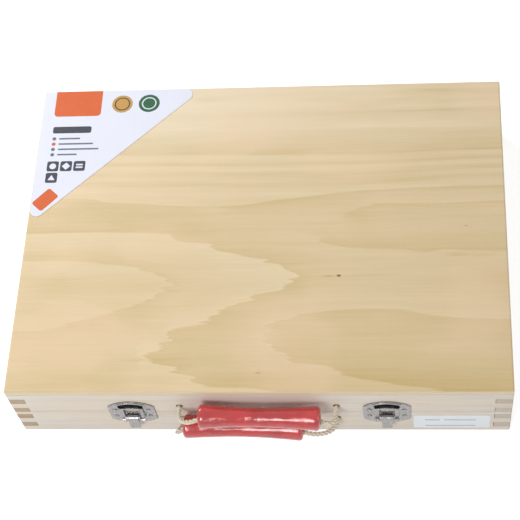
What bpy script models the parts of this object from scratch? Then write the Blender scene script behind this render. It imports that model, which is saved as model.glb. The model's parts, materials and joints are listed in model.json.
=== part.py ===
"""Toy tool box: a flat wooden case in two equal hinged halves.

Finger-jointed boards carry a panel on each half. Two toggle latches close the front, two butt
hinges join the back, and each half has a turned grip on a rope knotted behind its front board.
Metres, +Z up, front at -Y. The origin is the centre of the case's underside.
"""
import math

import bmesh
import bpy
from mathutils import Matrix, Vector

# Case, outside sizes, board stock and joint clearances
CASE_WIDTH = 0.300
CASE_DEPTH = 0.220
CASE_HEIGHT = 0.056
BOARD_THICKNESS = 0.010
LID_PANEL_THICKNESS = 0.004
BASE_PANEL_THICKNESS = 0.004
BASE_REBATE = 0.005
FINGER_PITCH = 0.0061
FINGER_LEAST_SHARE = 0.35
EDGE_ROUND = 0.0009
GLUE_GAP = 0.0002
SEAM_GAP = 0.0003
OVERRUN = 0.001

# Fasteners: domed nails that hold the latch plates and the hinge leaves
NAIL_HEAD_RADIUS = 0.0014
NAIL_HEAD_HEIGHT = 0.0006
NAIL_SHANK_RADIUS = 0.0006
NAIL_LENGTH = 0.0075
NAIL_CLEARANCE = 0.0003

# Toggle latches
LATCH_SPACING = 0.1532
PLATE_THICKNESS = 0.0007
METAL_GAP = 0.00015
PLATE_HALF_WIDTH = 0.0140
PLATE_SIDE_HEIGHT = 0.0086
CATCH_CROWN = 0.0151
BASE_CROWN = 0.0135
PLATE_NAIL_SPREAD = 0.0103
PLATE_NAIL_HEIGHT = 0.0043
WINDOW_HALF_WIDTH = 0.0076
WINDOW_SHOULDER = 0.0068
WINDOW_SIDE = 0.0112
WINDOW_CROWN = 0.0133
THROAT_HALF_WIDTH = 0.0043
THROAT_SILL = 0.0014
RIM_WIDTH = 0.0010
RIM_STANDOUT = 0.0004
MORTISE_MARGIN = 0.0004
MORTISE_DEPTH = 0.0035
LEVER_PIN_RADIUS = 0.0006
LEVER_PIN_DROP = 0.0020
LEVER_PIN_STANDOUT = 0.0029
LEVER_BARREL_RADIUS = 0.0018
LEVER_HALF_WIDTH = 0.0034
LEVER_THICKNESS = 0.0008
LEVER_CREASE_DROP = 0.0051
LEVER_TAB_DROP = 0.0153
LEVER_TAB_HALF_WIDTH = 0.0031
LEVER_TAB_CORNER = 0.0012
EAR_THICKNESS = 0.0006
EAR_RADIUS = 0.0014
EAR_CLEARANCE = 0.00025
PIN_CLEARANCE = 0.00008
LOOP_PIN_RADIUS = 0.00055
LOOP_PIN_BELOW = 0.0042
LOOP_PIN_BEHIND = 0.0005
LOOP_EYE_RADIUS = 0.00125
LOOP_THICKNESS = 0.0008
LOOP_HALF_WIDTH = 0.0071
LOOP_SIDE_HEIGHT = 0.0077
LOOP_CROWN = 0.0088
LOOP_BAR_HEIGHT = 0.0014
LOOP_CLEARANCE = 0.0003

# Butt hinges
HINGE_SPACING = 0.154
HINGE_WIDTH = 0.026
HINGE_KNUCKLES = 5
HINGE_LEAF_HEIGHT = 0.0120
HINGE_LEAF_THICKNESS = 0.0008
HINGE_LEAF_CORNER = 0.0015
HINGE_BARREL_RADIUS = 0.0019
HINGE_PIN_RADIUS = 0.0010
HINGE_PIN_HEAD = 0.0006
HINGE_KNUCKLE_GAP = 0.0003
HINGE_NAIL_SPREAD = 0.0080
HINGE_NAIL_DROP = 0.0072

# Rope handles
ROPE_RADIUS = 0.0015
ROPE_HOLE_RADIUS = 0.0021
ROPE_HOLE_SPACING = 0.0938
ROPE_HOLE_FROM_SEAM = 0.0085
ROPE_AXIS_STANDOUT = 0.0009
ROPE_END_GAP = 0.0003
ROPE_PULL = 0.0120
ROPE_DROOP_DEG = 25.0
ROPE_SWEEP = 0.0070
ROPE_DIP = 0.0025
ROPE_MOUTH = 0.0004
ROPE_LIE_DEG = 63.0
GRIP_REACH = 0.0110
GRIP_LENGTH = 0.072
GRIP_END_RADIUS = 0.0074
GRIP_WAIST_RADIUS = 0.0058
GRIP_END_ROUND = 0.0016
GRIP_BORE_RADIUS = 0.0038
GRIP_BORE_GAP = 0.0003
GRIP_TILT_DEG = 1.25
GRIP_SWELL_POWER = 1.8
UPPER_GRIP_SHIFT = 0.002
LOWER_GRIP_SHIFT = -0.009
UPPER_LIFT_DEG = 33.5
LOWER_LIFT_DEG = 38.8
KNOT_RADIUS = 0.0040
KNOT_TURNS = 2
KNOT_GAP = 0.0003
TAIL_LENGTH = 0.0060
TAIL_TILT_DEG = 35.0

# Facets
CURVE_STEPS = 12
ROUND_STEPS = 24
HOLE_STEPS = 16
ROPE_STEPS = 10
KNOT_STEPS = 5
DOME_STEPS = 3

# Derived heights and places
SEAM = CASE_HEIGHT / 2
FRAME_TOP = CASE_HEIGHT - LID_PANEL_THICKNESS
FRONT = -CASE_DEPTH / 2
BACK = CASE_DEPTH / 2
HALF_WIDTH = CASE_WIDTH / 2
PLATE_BACK = METAL_GAP
PLATE_FRONT = PLATE_BACK + PLATE_THICKNESS
HINGE_AXIS_Y = BACK + METAL_GAP + HINGE_BARREL_RADIUS
LEVER_PIN_HEIGHT = SEAM - LEVER_PIN_DROP
LOOP_PIN_HEIGHT = LEVER_PIN_HEIGHT - LOOP_PIN_BELOW
LOOP_PIN_STANDOUT = LEVER_PIN_STANDOUT - LOOP_PIN_BEHIND
SIDES = {"left": -1, "right": 1}


def clear_scene():
    """Removes every object that the file starts with."""
    for item in list(bpy.data.objects):
        bpy.data.objects.remove(item, do_unlink=True)


def make_collection(name):
    group = bpy.data.collections.new(name)
    bpy.context.scene.collection.children.link(group)
    return group


def make_material(name, colour, roughness, metallic):
    material = bpy.data.materials.new(name)
    material.use_nodes = True
    shader = material.node_tree.nodes["Principled BSDF"]
    shader.inputs["Base Color"].default_value = (*colour, 1.0)
    shader.inputs["Roughness"].default_value = roughness
    shader.inputs["Metallic"].default_value = metallic
    return material


clear_scene()
PARTS = make_collection("toy_tool_box")
CUTTERS = make_collection("cutters")
PANEL_PLY = make_material("panel_ply", (0.76, 0.64, 0.44), 0.55, 0.0)
BOARD_WOOD = make_material("board_wood", (0.68, 0.60, 0.46), 0.60, 0.0)
NICKEL = make_material("nickel", (0.55, 0.54, 0.53), 0.32, 1.0)
RED_GLOSS = make_material("red_gloss", (0.40, 0.018, 0.022), 0.18, 0.0)
COTTON = make_material("cotton_rope", (0.74, 0.68, 0.56), 0.90, 0.0)


def add_part(name, mesh, material, parent=None, location=(0, 0, 0), rotation=(0, 0, 0)):
    """Links a sub-part at a place given in its parent's own frame."""
    part = bpy.data.objects.new(name, mesh)
    mesh.materials.clear()
    mesh.materials.append(material)
    PARTS.objects.link(part)
    part.parent = parent
    part.location = location
    part.rotation_euler = rotation
    return part


def add_cutter(name, mesh, parent=None, location=(0, 0, 0), rotation=(0, 0, 0)):
    cutter = bpy.data.objects.new(name, mesh)
    CUTTERS.objects.link(cutter)
    cutter.parent = parent
    cutter.location = location
    cutter.rotation_euler = rotation
    cutter.hide_render = True
    cutter.display_type = "WIRE"
    return cutter


def add_axis(name, location, parent=None, tilt=0.0):
    """An empty on a joint's axis; its X direction is the axis."""
    axis = bpy.data.objects.new(name, None)
    axis.empty_display_size = BOARD_THICKNESS
    PARTS.objects.link(axis)
    axis.parent = parent
    axis.location = location
    axis.rotation_euler = (tilt, 0, 0)
    return axis


def combine(part, cutter, operation):
    step = part.modifiers.new(operation.lower(), "BOOLEAN")
    step.operation = operation
    step.solver = "EXACT"
    step.object = cutter


def mesh_of(shape, name):
    mesh = bpy.data.meshes.new(name)
    bmesh.ops.recalc_face_normals(shape, faces=shape.faces)
    shape.to_mesh(mesh)
    shape.free()
    return mesh


def add_block(shape, low, high):
    """Adds a box between two corners to a bmesh."""
    low, high = Vector(low), Vector(high)
    size = high - low
    place = Matrix.Translation((low + high) / 2) @ Matrix.Diagonal((*size, 1.0))
    bmesh.ops.create_cube(shape, size=1.0, matrix=place)


def blocks_mesh(name, corner_pairs):
    shape = bmesh.new()
    for low, high in corner_pairs:
        add_block(shape, low, high)
    return mesh_of(shape, name)


def add_rod(shape, start, end, radius, steps=ROUND_STEPS):
    """Adds a capped cylinder between two points to a bmesh."""
    start, end = Vector(start), Vector(end)
    along = end - start
    turn = along.to_track_quat("Z", "Y").to_matrix().to_4x4()
    place = Matrix.Translation((start + end) / 2) @ turn
    bmesh.ops.create_cone(shape, cap_ends=True, segments=steps, radius1=radius, radius2=radius,
                          depth=along.length, matrix=place)


def rods_mesh(name, rods, steps=ROUND_STEPS):
    shape = bmesh.new()
    for start, end, radius in rods:
        add_rod(shape, start, end, radius, steps)
    return mesh_of(shape, name)


def shade_round(mesh, sharp_deg=35.0):
    mesh.shade_smooth()
    mesh.set_sharp_from_angle(angle=math.radians(sharp_deg))


def curve_to_mesh(curve_object, name):
    """A closed mesh of a curve object, which is then removed."""
    bpy.context.view_layer.update()
    evaluated = curve_object.evaluated_get(bpy.context.evaluated_depsgraph_get())
    mesh = bpy.data.meshes.new_from_object(evaluated)
    mesh.name = name
    shape = bmesh.new()
    shape.from_mesh(mesh)
    bmesh.ops.remove_doubles(shape, verts=shape.verts, dist=METAL_GAP / 100)
    bmesh.ops.recalc_face_normals(shape, faces=shape.faces)
    shape.to_mesh(mesh)
    shape.free()
    bpy.data.objects.remove(curve_object, do_unlink=True)
    return mesh


def sheet_mesh(name, outlines, thickness):
    """A flat outline, with holes as further outlines, given a thickness about its own plane."""
    data = bpy.data.curves.new(name, "CURVE")
    data.dimensions = "2D"
    data.fill_mode = "BOTH"
    data.extrude = thickness / 2
    for outline in outlines:
        spline = data.splines.new("POLY")
        spline.points.add(len(outline) - 1)
        for point, (across, up) in zip(spline.points, outline):
            point.co = (across, up, 0, 1)
        spline.use_cyclic_u = True
    holder = bpy.data.objects.new(name, data)
    CUTTERS.objects.link(holder)
    return curve_to_mesh(holder, name)


def tube_mesh(name, points, radius):
    """A round tube with filled ends along a list of points."""
    data = bpy.data.curves.new(name, "CURVE")
    data.dimensions = "3D"
    data.bevel_depth = radius
    data.bevel_resolution = 2
    data.use_fill_caps = True
    spline = data.splines.new("POLY")
    spline.points.add(len(points) - 1)
    for point, place in zip(spline.points, points):
        point.co = (*place, 1)
    holder = bpy.data.objects.new(name, data)
    CUTTERS.objects.link(holder)
    return curve_to_mesh(holder, name)


def turned_part(name, profile, material, parent, location, rotation, steps=ROUND_STEPS, closed=False):
    """A profile of (radius, height) points turned about its own Z axis by a Screw modifier."""
    mesh = bpy.data.meshes.new(name)
    edges = [(i, i + 1) for i in range(len(profile) - 1)]
    if closed:
        edges.append((len(profile) - 1, 0))
    mesh.from_pydata([(radius, 0, height) for radius, height in profile], edges, [])
    part = add_part(name, mesh, material, parent, location, rotation)
    screw = part.modifiers.new("turn", "SCREW")
    screw.steps = steps
    screw.render_steps = steps
    screw.use_merge_vertices = True
    screw.merge_threshold = METAL_GAP / 100
    screw.use_smooth_shade = True
    return part


def arc(centre, radius, start_deg, end_deg, steps):
    """Points on an arc, both ends included."""
    points = []
    for i in range(steps + 1):
        angle = math.radians(start_deg + (end_deg - start_deg) * i / steps)
        points.append((centre[0] + radius * math.cos(angle), centre[1] + radius * math.sin(angle)))
    return points


def crown(half_width, side, top, steps=CURVE_STEPS):
    """The shallow arc from (half_width, side) over (0, top) to (-half_width, side)."""
    rise = top - side
    radius = (half_width ** 2 + rise ** 2) / (2 * rise)
    spread = math.degrees(math.asin(half_width / radius))
    return arc((0, top - radius), radius, 90 - spread, 90 + spread, steps)


def rounded_corner(corner, before, after, radius, steps=4):
    """A fillet's points at a square corner, between the unit directions to its two neighbours."""
    centre = (corner[0] + (before[0] + after[0]) * radius, corner[1] + (before[1] + after[1]) * radius)
    start = math.degrees(math.atan2(-after[1], -after[0]))
    end = math.degrees(math.atan2(-before[1], -before[0]))
    turn = (end - start + 180) % 360 - 180
    return arc(centre, radius, start, start + turn, steps)


# The case: boards with interlocking fingers, a let-in base panel and a lid panel on top
def finger_bands(outer, inner):
    """Bands of one finger each from a half's outer edge to the seam, with the board that fills them.

    The front and back boards own the first band, the side boards the next, and so on. A last
    band too thin to stand by itself joins the one before it.
    """
    direction = 1 if inner > outer else -1
    height = abs(inner - outer)
    count = max(1, math.ceil(height / FINGER_PITCH - FINGER_LEAST_SHARE))
    bands = []
    for i in range(count):
        start = outer + direction * i * FINGER_PITCH
        end = inner if i == count - 1 else start + direction * FINGER_PITCH
        owner = "ends" if i % 2 else "fronts"
        bands.append((min(start, end), max(start, end), owner))
    return bands


def notch_height(band, low, high):
    """A notch's two heights: half a glue gap beyond its band, and clear past a board's own edge."""
    start = low - OVERRUN if band[0] <= low + GLUE_GAP else band[0] - GLUE_GAP / 2
    end = high + OVERRUN if band[1] >= high - GLUE_GAP else band[1] + GLUE_GAP / 2
    return start, end


def front_notches(y_side, bands, low, high):
    """What a front or back board loses at both ends, where the side boards' fingers pass."""
    notches = []
    inside = HALF_WIDTH - BOARD_THICKNESS - GLUE_GAP
    outside = HALF_WIDTH + 2 * OVERRUN
    near = CASE_DEPTH / 2 - BOARD_THICKNESS - OVERRUN
    far = CASE_DEPTH / 2 + 2 * OVERRUN
    for band in bands:
        if band[2] == "fronts":
            continue
        start, end = notch_height(band, low, high)
        for side in (-1, 1):
            xs = sorted((side * inside, side * outside))
            ys = sorted((y_side * near, y_side * far))
            notches.append(((xs[0], ys[0], start), (xs[1], ys[1], end)))
    return notches


def side_notches(x_side, bands, low, high):
    """What a side board loses at both ends, where the front and back boards' fingers pass."""
    notches = []
    inside = CASE_DEPTH / 2 - BOARD_THICKNESS - GLUE_GAP
    outside = CASE_DEPTH / 2 + 2 * OVERRUN
    near = HALF_WIDTH - BOARD_THICKNESS - OVERRUN
    far = HALF_WIDTH + 2 * OVERRUN
    for band in bands:
        if band[2] == "ends":
            continue
        start, end = notch_height(band, low, high)
        for side in (-1, 1):
            xs = sorted((x_side * near, x_side * far))
            ys = sorted((side * inside, side * outside))
            notches.append(((xs[0], ys[0], start), (xs[1], ys[1], end)))
    return notches


def case_envelope():
    """The whole case's outer block with its edges rounded; every outside board is trimmed to it."""
    corner = (HALF_WIDTH, CASE_DEPTH / 2, CASE_HEIGHT)
    mesh = blocks_mesh("case_envelope", [((-corner[0], -corner[1], 0), corner)])
    envelope = add_cutter("case_envelope", mesh)
    rounding = envelope.modifiers.new("round", "BEVEL")
    rounding.width = EDGE_ROUND
    rounding.segments = 2
    return envelope


def board(name, low_corner, high_corner, notches, trims, holder, origin):
    """A board: its stock, less the notches at its ends, then each trim in turn."""
    low = Vector(low_corner) - origin
    high = Vector(high_corner) - origin
    part = add_part(name, blocks_mesh(name, [(low, high)]), BOARD_WOOD, holder)
    shifted = [(Vector(a) - origin, Vector(b) - origin) for a, b in notches]
    comb = add_cutter(name + "_notches", blocks_mesh(name + "_notches", shifted), holder)
    combine(part, comb, "DIFFERENCE")
    for cutter, operation in trims:
        combine(part, cutter, operation)
    return part


def half_frame(prefix, low, high, bands, holder, origin, trims, open_below):
    """The four boards of one half. open_below lets the stock run past the underside before trimming."""
    bottom = low - OVERRUN if open_below else low
    wide, deep = HALF_WIDTH + OVERRUN, CASE_DEPTH / 2 + OVERRUN
    inner_x, inner_y = HALF_WIDTH - BOARD_THICKNESS, CASE_DEPTH / 2 - BOARD_THICKNESS
    boards = {
        "front_board": ((-wide, -deep, bottom), (wide, -inner_y, high), front_notches(-1, bands, low, high)),
        "back_board": ((-wide, inner_y, bottom), (wide, deep, high), front_notches(1, bands, low, high)),
        "left_board": ((-wide, -deep, bottom), (-inner_x, deep, high), side_notches(-1, bands, low, high)),
        "right_board": ((inner_x, -deep, bottom), (wide, deep, high), side_notches(1, bands, low, high)),
    }
    made = {}
    for key, (corner, opposite, notches) in boards.items():
        made[key] = board(prefix + key, corner, opposite, notches, trims, holder, origin)
    return made


def build_base():
    """The lower half: boards, and the panel let into a rebate round their lower edge."""
    panel_x = HALF_WIDTH - BOARD_THICKNESS + BASE_REBATE
    panel_y = CASE_DEPTH / 2 - BOARD_THICKNESS + BASE_REBATE
    panel = blocks_mesh("lower_panel", [((-panel_x, -panel_y, 0), (panel_x, panel_y, BASE_PANEL_THICKNESS))])
    add_part("lower_panel", panel, PANEL_PLY)
    reach_x, reach_y = panel_x + GLUE_GAP, panel_y + GLUE_GAP
    pocket = blocks_mesh("base_rebate", [
        ((-reach_x, -reach_y, -2 * OVERRUN), (reach_x, reach_y, BASE_PANEL_THICKNESS + GLUE_GAP))])
    rebate = add_cutter("base_rebate", pocket)
    low, high = 0.0, SEAM - SEAM_GAP / 2
    trims = [(rebate, "DIFFERENCE"), (ENVELOPE, "INTERSECT")]
    return half_frame("lower_", low, high, finger_bands(low, high), None, Vector((0, 0, 0)), trims, True)


def build_lid(lid):
    """The upper half, hung from the hinge axis: boards under a panel that covers them."""
    origin = Vector(lid.location)
    low, high = SEAM + SEAM_GAP / 2, FRAME_TOP - GLUE_GAP
    made = half_frame("upper_", low, high, finger_bands(high, low), lid, origin, [(ENVELOPE, "INTERSECT")], False)
    wide, deep = HALF_WIDTH + OVERRUN, CASE_DEPTH / 2 + OVERRUN
    top = CASE_HEIGHT + OVERRUN
    corners = (Vector((-wide, -deep, FRAME_TOP)) - origin, Vector((wide, deep, top)) - origin)
    panel = add_part("upper_panel", blocks_mesh("upper_panel", [corners]), PANEL_PLY, lid)
    combine(panel, ENVELOPE, "INTERSECT")
    return made


# Nails, shared by the latches and the hinges
def nail_profile():
    """Down the outer side: a low domed head, its flat underside, then the pointed shank."""
    dome = (NAIL_HEAD_RADIUS ** 2 + NAIL_HEAD_HEIGHT ** 2) / (2 * NAIL_HEAD_HEIGHT)
    spread = math.degrees(math.asin(NAIL_HEAD_RADIUS / dome))
    head = arc((0, NAIL_HEAD_HEIGHT - dome), dome, 90, 90 - spread, DOME_STEPS)
    head[0] = (0, NAIL_HEAD_HEIGHT)
    shank_end = -NAIL_LENGTH + 2 * NAIL_SHANK_RADIUS
    return head + [(NAIL_SHANK_RADIUS, 0), (NAIL_SHANK_RADIUS, shank_end), (0, -NAIL_LENGTH)]


def add_nail(name, x, y, z, outward, holder, origin):
    """A nail whose head faces outward (-1 to the front, 1 to the back) and sits at the point."""
    place = Vector((x, y, z)) - origin
    turn = (outward * -math.pi / 2, 0, 0)
    return turned_part(name, nail_profile(), NICKEL, holder, place, turn, HOLE_STEPS)


def drill(boards, name, places, radius):
    """Holes along Y right through a board, at (x, z) places."""
    y_far = CASE_DEPTH / 2 + 2 * OVERRUN
    y_near = CASE_DEPTH / 2 - BOARD_THICKNESS - 2 * OVERRUN
    for y_side, part, key in boards:
        rods = [((x, y_side * y_near, z), (x, y_side * y_far, z), radius) for x, z in places]
        drills = add_cutter(name + key, rods_mesh(name + key, rods, HOLE_STEPS))
        combine(part, drills, "DIFFERENCE")


# Toggle latches. Heights are from the seam; a standout is measured from the case's front
def put_on_front(mesh_name, outlines, back, thickness, centre_x):
    """A cutter or blank of a front-view outline, standing upright on the case's front."""
    mesh = sheet_mesh(mesh_name, outlines, thickness)
    return mesh, (centre_x, FRONT - back - thickness / 2, SEAM), (math.pi / 2, 0, 0)


def circle(centre, radius, steps=HOLE_STEPS):
    return arc(centre, radius, 0, 360 - 360 / steps, steps - 1)


def plate_nail_holes(sign):
    radius = NAIL_SHANK_RADIUS + NAIL_CLEARANCE
    return [circle((side * PLATE_NAIL_SPREAD, sign * PLATE_NAIL_HEIGHT), radius) for side in (-1, 1)]


def catch_outline():
    edge = SEAM_GAP / 2
    return [(-PLATE_HALF_WIDTH, edge), (PLATE_HALF_WIDTH, edge)] + crown(
        PLATE_HALF_WIDTH, PLATE_SIDE_HEIGHT, CATCH_CROWN)


def window_arch(widen=0.0):
    """The catch window's sides and crown, right to left, grown outward by widen."""
    return crown(WINDOW_HALF_WIDTH + widen, WINDOW_SIDE + widen / 2, WINDOW_CROWN + widen)


def build_catch(side_name, centre_x, lid, front_board):
    """The upper plate: a crowned stamping with an arched window and throat under a raised rim."""
    name = side_name + "_catch_plate"
    origin = Vector(lid.location)
    throat = [(-WINDOW_HALF_WIDTH, WINDOW_SHOULDER), (-THROAT_HALF_WIDTH, WINDOW_SHOULDER),
              (-THROAT_HALF_WIDTH, THROAT_SILL), (THROAT_HALF_WIDTH, THROAT_SILL),
              (THROAT_HALF_WIDTH, WINDOW_SHOULDER), (WINDOW_HALF_WIDTH, WINDOW_SHOULDER)]
    outlines = [catch_outline(), throat + window_arch()] + plate_nail_holes(1)
    mesh, place, turn = put_on_front(name, outlines, PLATE_BACK, PLATE_THICKNESS, centre_x)
    plate = add_part(name, mesh, NICKEL, lid, Vector(place) - origin, turn)
    outer = WINDOW_HALF_WIDTH + RIM_WIDTH
    inner = list(reversed(window_arch()))
    rim = ([(outer, WINDOW_SHOULDER)] + window_arch(RIM_WIDTH) + [(-outer, WINDOW_SHOULDER),
           (-WINDOW_HALF_WIDTH, WINDOW_SHOULDER)] + inner + [(WINDOW_HALF_WIDTH, WINDOW_SHOULDER)])
    depth = PLATE_THICKNESS / 2 + RIM_STANDOUT
    mesh, place, turn = put_on_front(name + "_rim", [rim], PLATE_FRONT - PLATE_THICKNESS / 2, depth, centre_x)
    raised = add_cutter(name + "_rim", mesh, lid, Vector(place) - origin, turn)
    combine(plate, raised, "UNION")
    inset = WINDOW_HALF_WIDTH - MORTISE_MARGIN
    recess = [(-inset, WINDOW_SHOULDER + MORTISE_MARGIN), (inset, WINDOW_SHOULDER + MORTISE_MARGIN)]
    recess += window_arch(-MORTISE_MARGIN)
    mesh, place, turn = put_on_front(name + "_mortise", [recess], -MORTISE_DEPTH, 2 * MORTISE_DEPTH, centre_x)
    mortise = add_cutter(name + "_mortise", mesh, lid, Vector(place) - origin, turn)
    combine(front_board, mortise, "DIFFERENCE")
    return plate


def build_base_plate(side_name, centre_x):
    """The lower plate: the mirrored half-hexagon, with two ears folded out to hold the lever's pin."""
    name = side_name + "_base_plate"
    flipped = crown(PLATE_HALF_WIDTH, PLATE_SIDE_HEIGHT, BASE_CROWN)
    outline = [(x, -z) for x, z in flipped] + [(-PLATE_HALF_WIDTH, -SEAM_GAP / 2), (PLATE_HALF_WIDTH, -SEAM_GAP / 2)]
    ear_inner = LEVER_HALF_WIDTH + EAR_CLEARANCE
    ear_outer = ear_inner + EAR_THICKNESS
    slot_top = -LEVER_PIN_DROP + EAR_RADIUS
    slot_low = -LEVER_PIN_DROP - LOOP_PIN_BELOW - 2 * LOOP_EYE_RADIUS
    slot = [(-ear_inner, slot_low), (ear_inner, slot_low), (ear_inner, slot_top - EAR_RADIUS),
            (-ear_inner, slot_top - EAR_RADIUS)]
    mesh, place, turn = put_on_front(name, [outline, slot] + plate_nail_holes(-1), PLATE_BACK, PLATE_THICKNESS, centre_x)
    plate = add_part(name, mesh, NICKEL, None, place, turn)
    bore = circle((LEVER_PIN_STANDOUT, 0), LEVER_PIN_RADIUS + PIN_CLEARANCE)
    root = PLATE_BACK + PLATE_THICKNESS / 2
    ear = [(root, EAR_RADIUS)] + arc((LEVER_PIN_STANDOUT, 0), EAR_RADIUS, 90, -90, 8) + [(root, -EAR_RADIUS)]
    for side in (-1, 1):
        middle = centre_x + side * (ear_inner + ear_outer) / 2
        key = "%s_ear_%s" % (name, "right" if side > 0 else "left")
        mesh = sheet_mesh(key, [ear, bore], EAR_THICKNESS)
        lug = add_cutter(key, mesh, None, (middle, FRONT, LEVER_PIN_HEIGHT), (math.pi / 2, 0, -math.pi / 2))
        combine(plate, lug, "UNION")
    return plate


def lever_outline():
    """Side view of the lever about its pin: (standout from the pin, height from the pin).

    A rolled barrel round the pin runs down into a convex belly, a crease, and a thumb tab that
    leans out. Behind the crease is the eye for the loop's pin.
    """
    eye = (-LOOP_PIN_BEHIND, -LOOP_PIN_BELOW)
    eye_radius = LOOP_EYE_RADIUS
    tab_top = LEVER_PIN_DROP - LEVER_CREASE_DROP
    tip = LEVER_PIN_DROP - LEVER_TAB_DROP
    crease = eye[0] + eye_radius + LEVER_THICKNESS / 4
    lean = LEVER_THICKNESS / 2
    belly = []
    for share in (0.25, 0.5, 0.75):
        swell = LEVER_THICKNESS / 3 * math.sin(math.pi * share)
        belly.append((LEVER_BARREL_RADIUS + (crease - LEVER_BARREL_RADIUS) * share ** 2 + swell,
                      tab_top * share))
    points = arc((0, 0), LEVER_BARREL_RADIUS, 180, 0, 12)
    points += belly
    points += [(crease, tab_top), (crease + lean, tip + LEVER_THICKNESS / 2)]
    points += [(crease + lean - LEVER_THICKNESS / 2, tip)]
    points += [(crease + lean - LEVER_THICKNESS, tip + LEVER_THICKNESS / 2), (crease - LEVER_THICKNESS, tab_top - eye_radius)]
    points += arc(eye, eye_radius, -60, -180, 6)
    return points


def build_lever(side_name, centre_x):
    """The thumb lever, turning on a pin through the base plate's ears."""
    place = (centre_x, FRONT - LEVER_PIN_STANDOUT, LEVER_PIN_HEIGHT)
    axis = add_axis(side_name + "_lever_axis", place)
    name = side_name + "_lever"
    pin_hole = circle((0, 0), LEVER_PIN_RADIUS + PIN_CLEARANCE)
    eye_hole = circle((-LOOP_PIN_BEHIND, -LOOP_PIN_BELOW), LOOP_PIN_RADIUS + PIN_CLEARANCE)
    mesh = sheet_mesh(name, [lever_outline(), pin_hole, eye_hole], 2 * LEVER_HALF_WIDTH)
    lever = add_part(name, mesh, NICKEL, axis, (0, 0, 0), (math.pi / 2, 0, -math.pi / 2))
    high = LEVER_BARREL_RADIUS + OVERRUN
    wide = LEVER_HALF_WIDTH + OVERRUN
    tip = LEVER_PIN_DROP - LEVER_TAB_DROP
    corner = LEVER_TAB_CORNER
    tab = LEVER_TAB_HALF_WIDTH
    neck = LEVER_PIN_DROP - LEVER_CREASE_DROP - 2 * (LEVER_HALF_WIDTH - tab)
    flare = neck + 2 * (wide - tab)
    shield = [(wide, high), (-wide, high), (-wide, flare), (-tab, neck)]
    shield += arc((-tab + corner, tip + corner), corner, 180, 270, 4)
    shield += arc((tab - corner, tip + corner), corner, 270, 360, 4)
    shield += [(tab, neck), (wide, flare)]
    depth = 4 * LEVER_PIN_STANDOUT
    trim = add_cutter(name + "_trim", sheet_mesh(name + "_trim", [shield], depth), axis, (0, 0, 0), (math.pi / 2, 0, 0))
    combine(lever, trim, "INTERSECT")
    reach = LEVER_HALF_WIDTH + EAR_CLEARANCE + EAR_THICKNESS + METAL_GAP
    pin = rods_mesh(side_name + "_lever_pin", [((-reach, 0, 0), (reach, 0, 0), LEVER_PIN_RADIUS)], HOLE_STEPS)
    add_part(side_name + "_lever_pin", pin, NICKEL, None, place)
    return axis


def build_loop(side_name, lever_axis):
    """The draw loop: two arms and a crossbar, riding on a pin through the lever."""
    axis = add_axis(side_name + "_loop_axis", (0, LOOP_PIN_BEHIND, -LOOP_PIN_BELOW), lever_axis)
    name = side_name + "_loop"
    up = SEAM - LOOP_PIN_HEIGHT
    arm_inner = LEVER_HALF_WIDTH + 2 * EAR_CLEARANCE + EAR_THICKNESS + METAL_GAP
    slot_top = up + LOOP_CROWN - LOOP_BAR_HEIGHT
    corner = LEVER_TAB_CORNER
    outer = [(LOOP_HALF_WIDTH, 0)] + crown(LOOP_HALF_WIDTH, up + LOOP_SIDE_HEIGHT, up + LOOP_CROWN)
    outer += [(-LOOP_HALF_WIDTH, 0), (-arm_inner, 0)]
    outer += arc((-arm_inner + corner, slot_top - corner), corner, 180, 90, 4)
    outer += arc((arm_inner - corner, slot_top - corner), corner, 90, 0, 4)
    outer += [(arm_inner, 0)]
    mesh = sheet_mesh(name, [outer], LOOP_THICKNESS)
    back = PLATE_FRONT + LOOP_CLEARANCE
    offset = LOOP_PIN_STANDOUT - back - LOOP_THICKNESS / 2
    loop = add_part(name, mesh, NICKEL, axis, (0, offset, 0), (math.pi / 2, 0, 0))
    eyes = [((side * arm_inner, 0, 0), (side * LOOP_HALF_WIDTH, 0, 0), LOOP_EYE_RADIUS) for side in (-1, 1)]
    combine(loop, add_cutter(name + "_eyes", rods_mesh(name + "_eyes", eyes), axis), "UNION")
    reach = LOOP_HALF_WIDTH + OVERRUN
    bore = [((-reach, 0, 0), (reach, 0, 0), LOOP_PIN_RADIUS + PIN_CLEARANCE)]
    combine(loop, add_cutter(name + "_bore", rods_mesh(name + "_bore", bore, HOLE_STEPS), axis), "DIFFERENCE")
    pin_reach = LOOP_HALF_WIDTH + METAL_GAP
    pin = rods_mesh(side_name + "_loop_pin", [((-pin_reach, 0, 0), (pin_reach, 0, 0), LOOP_PIN_RADIUS)], HOLE_STEPS)
    place = (0, LOOP_PIN_BEHIND, -LOOP_PIN_BELOW)
    add_part(side_name + "_loop_pin", pin, NICKEL, lever_axis, place)
    return loop


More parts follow.
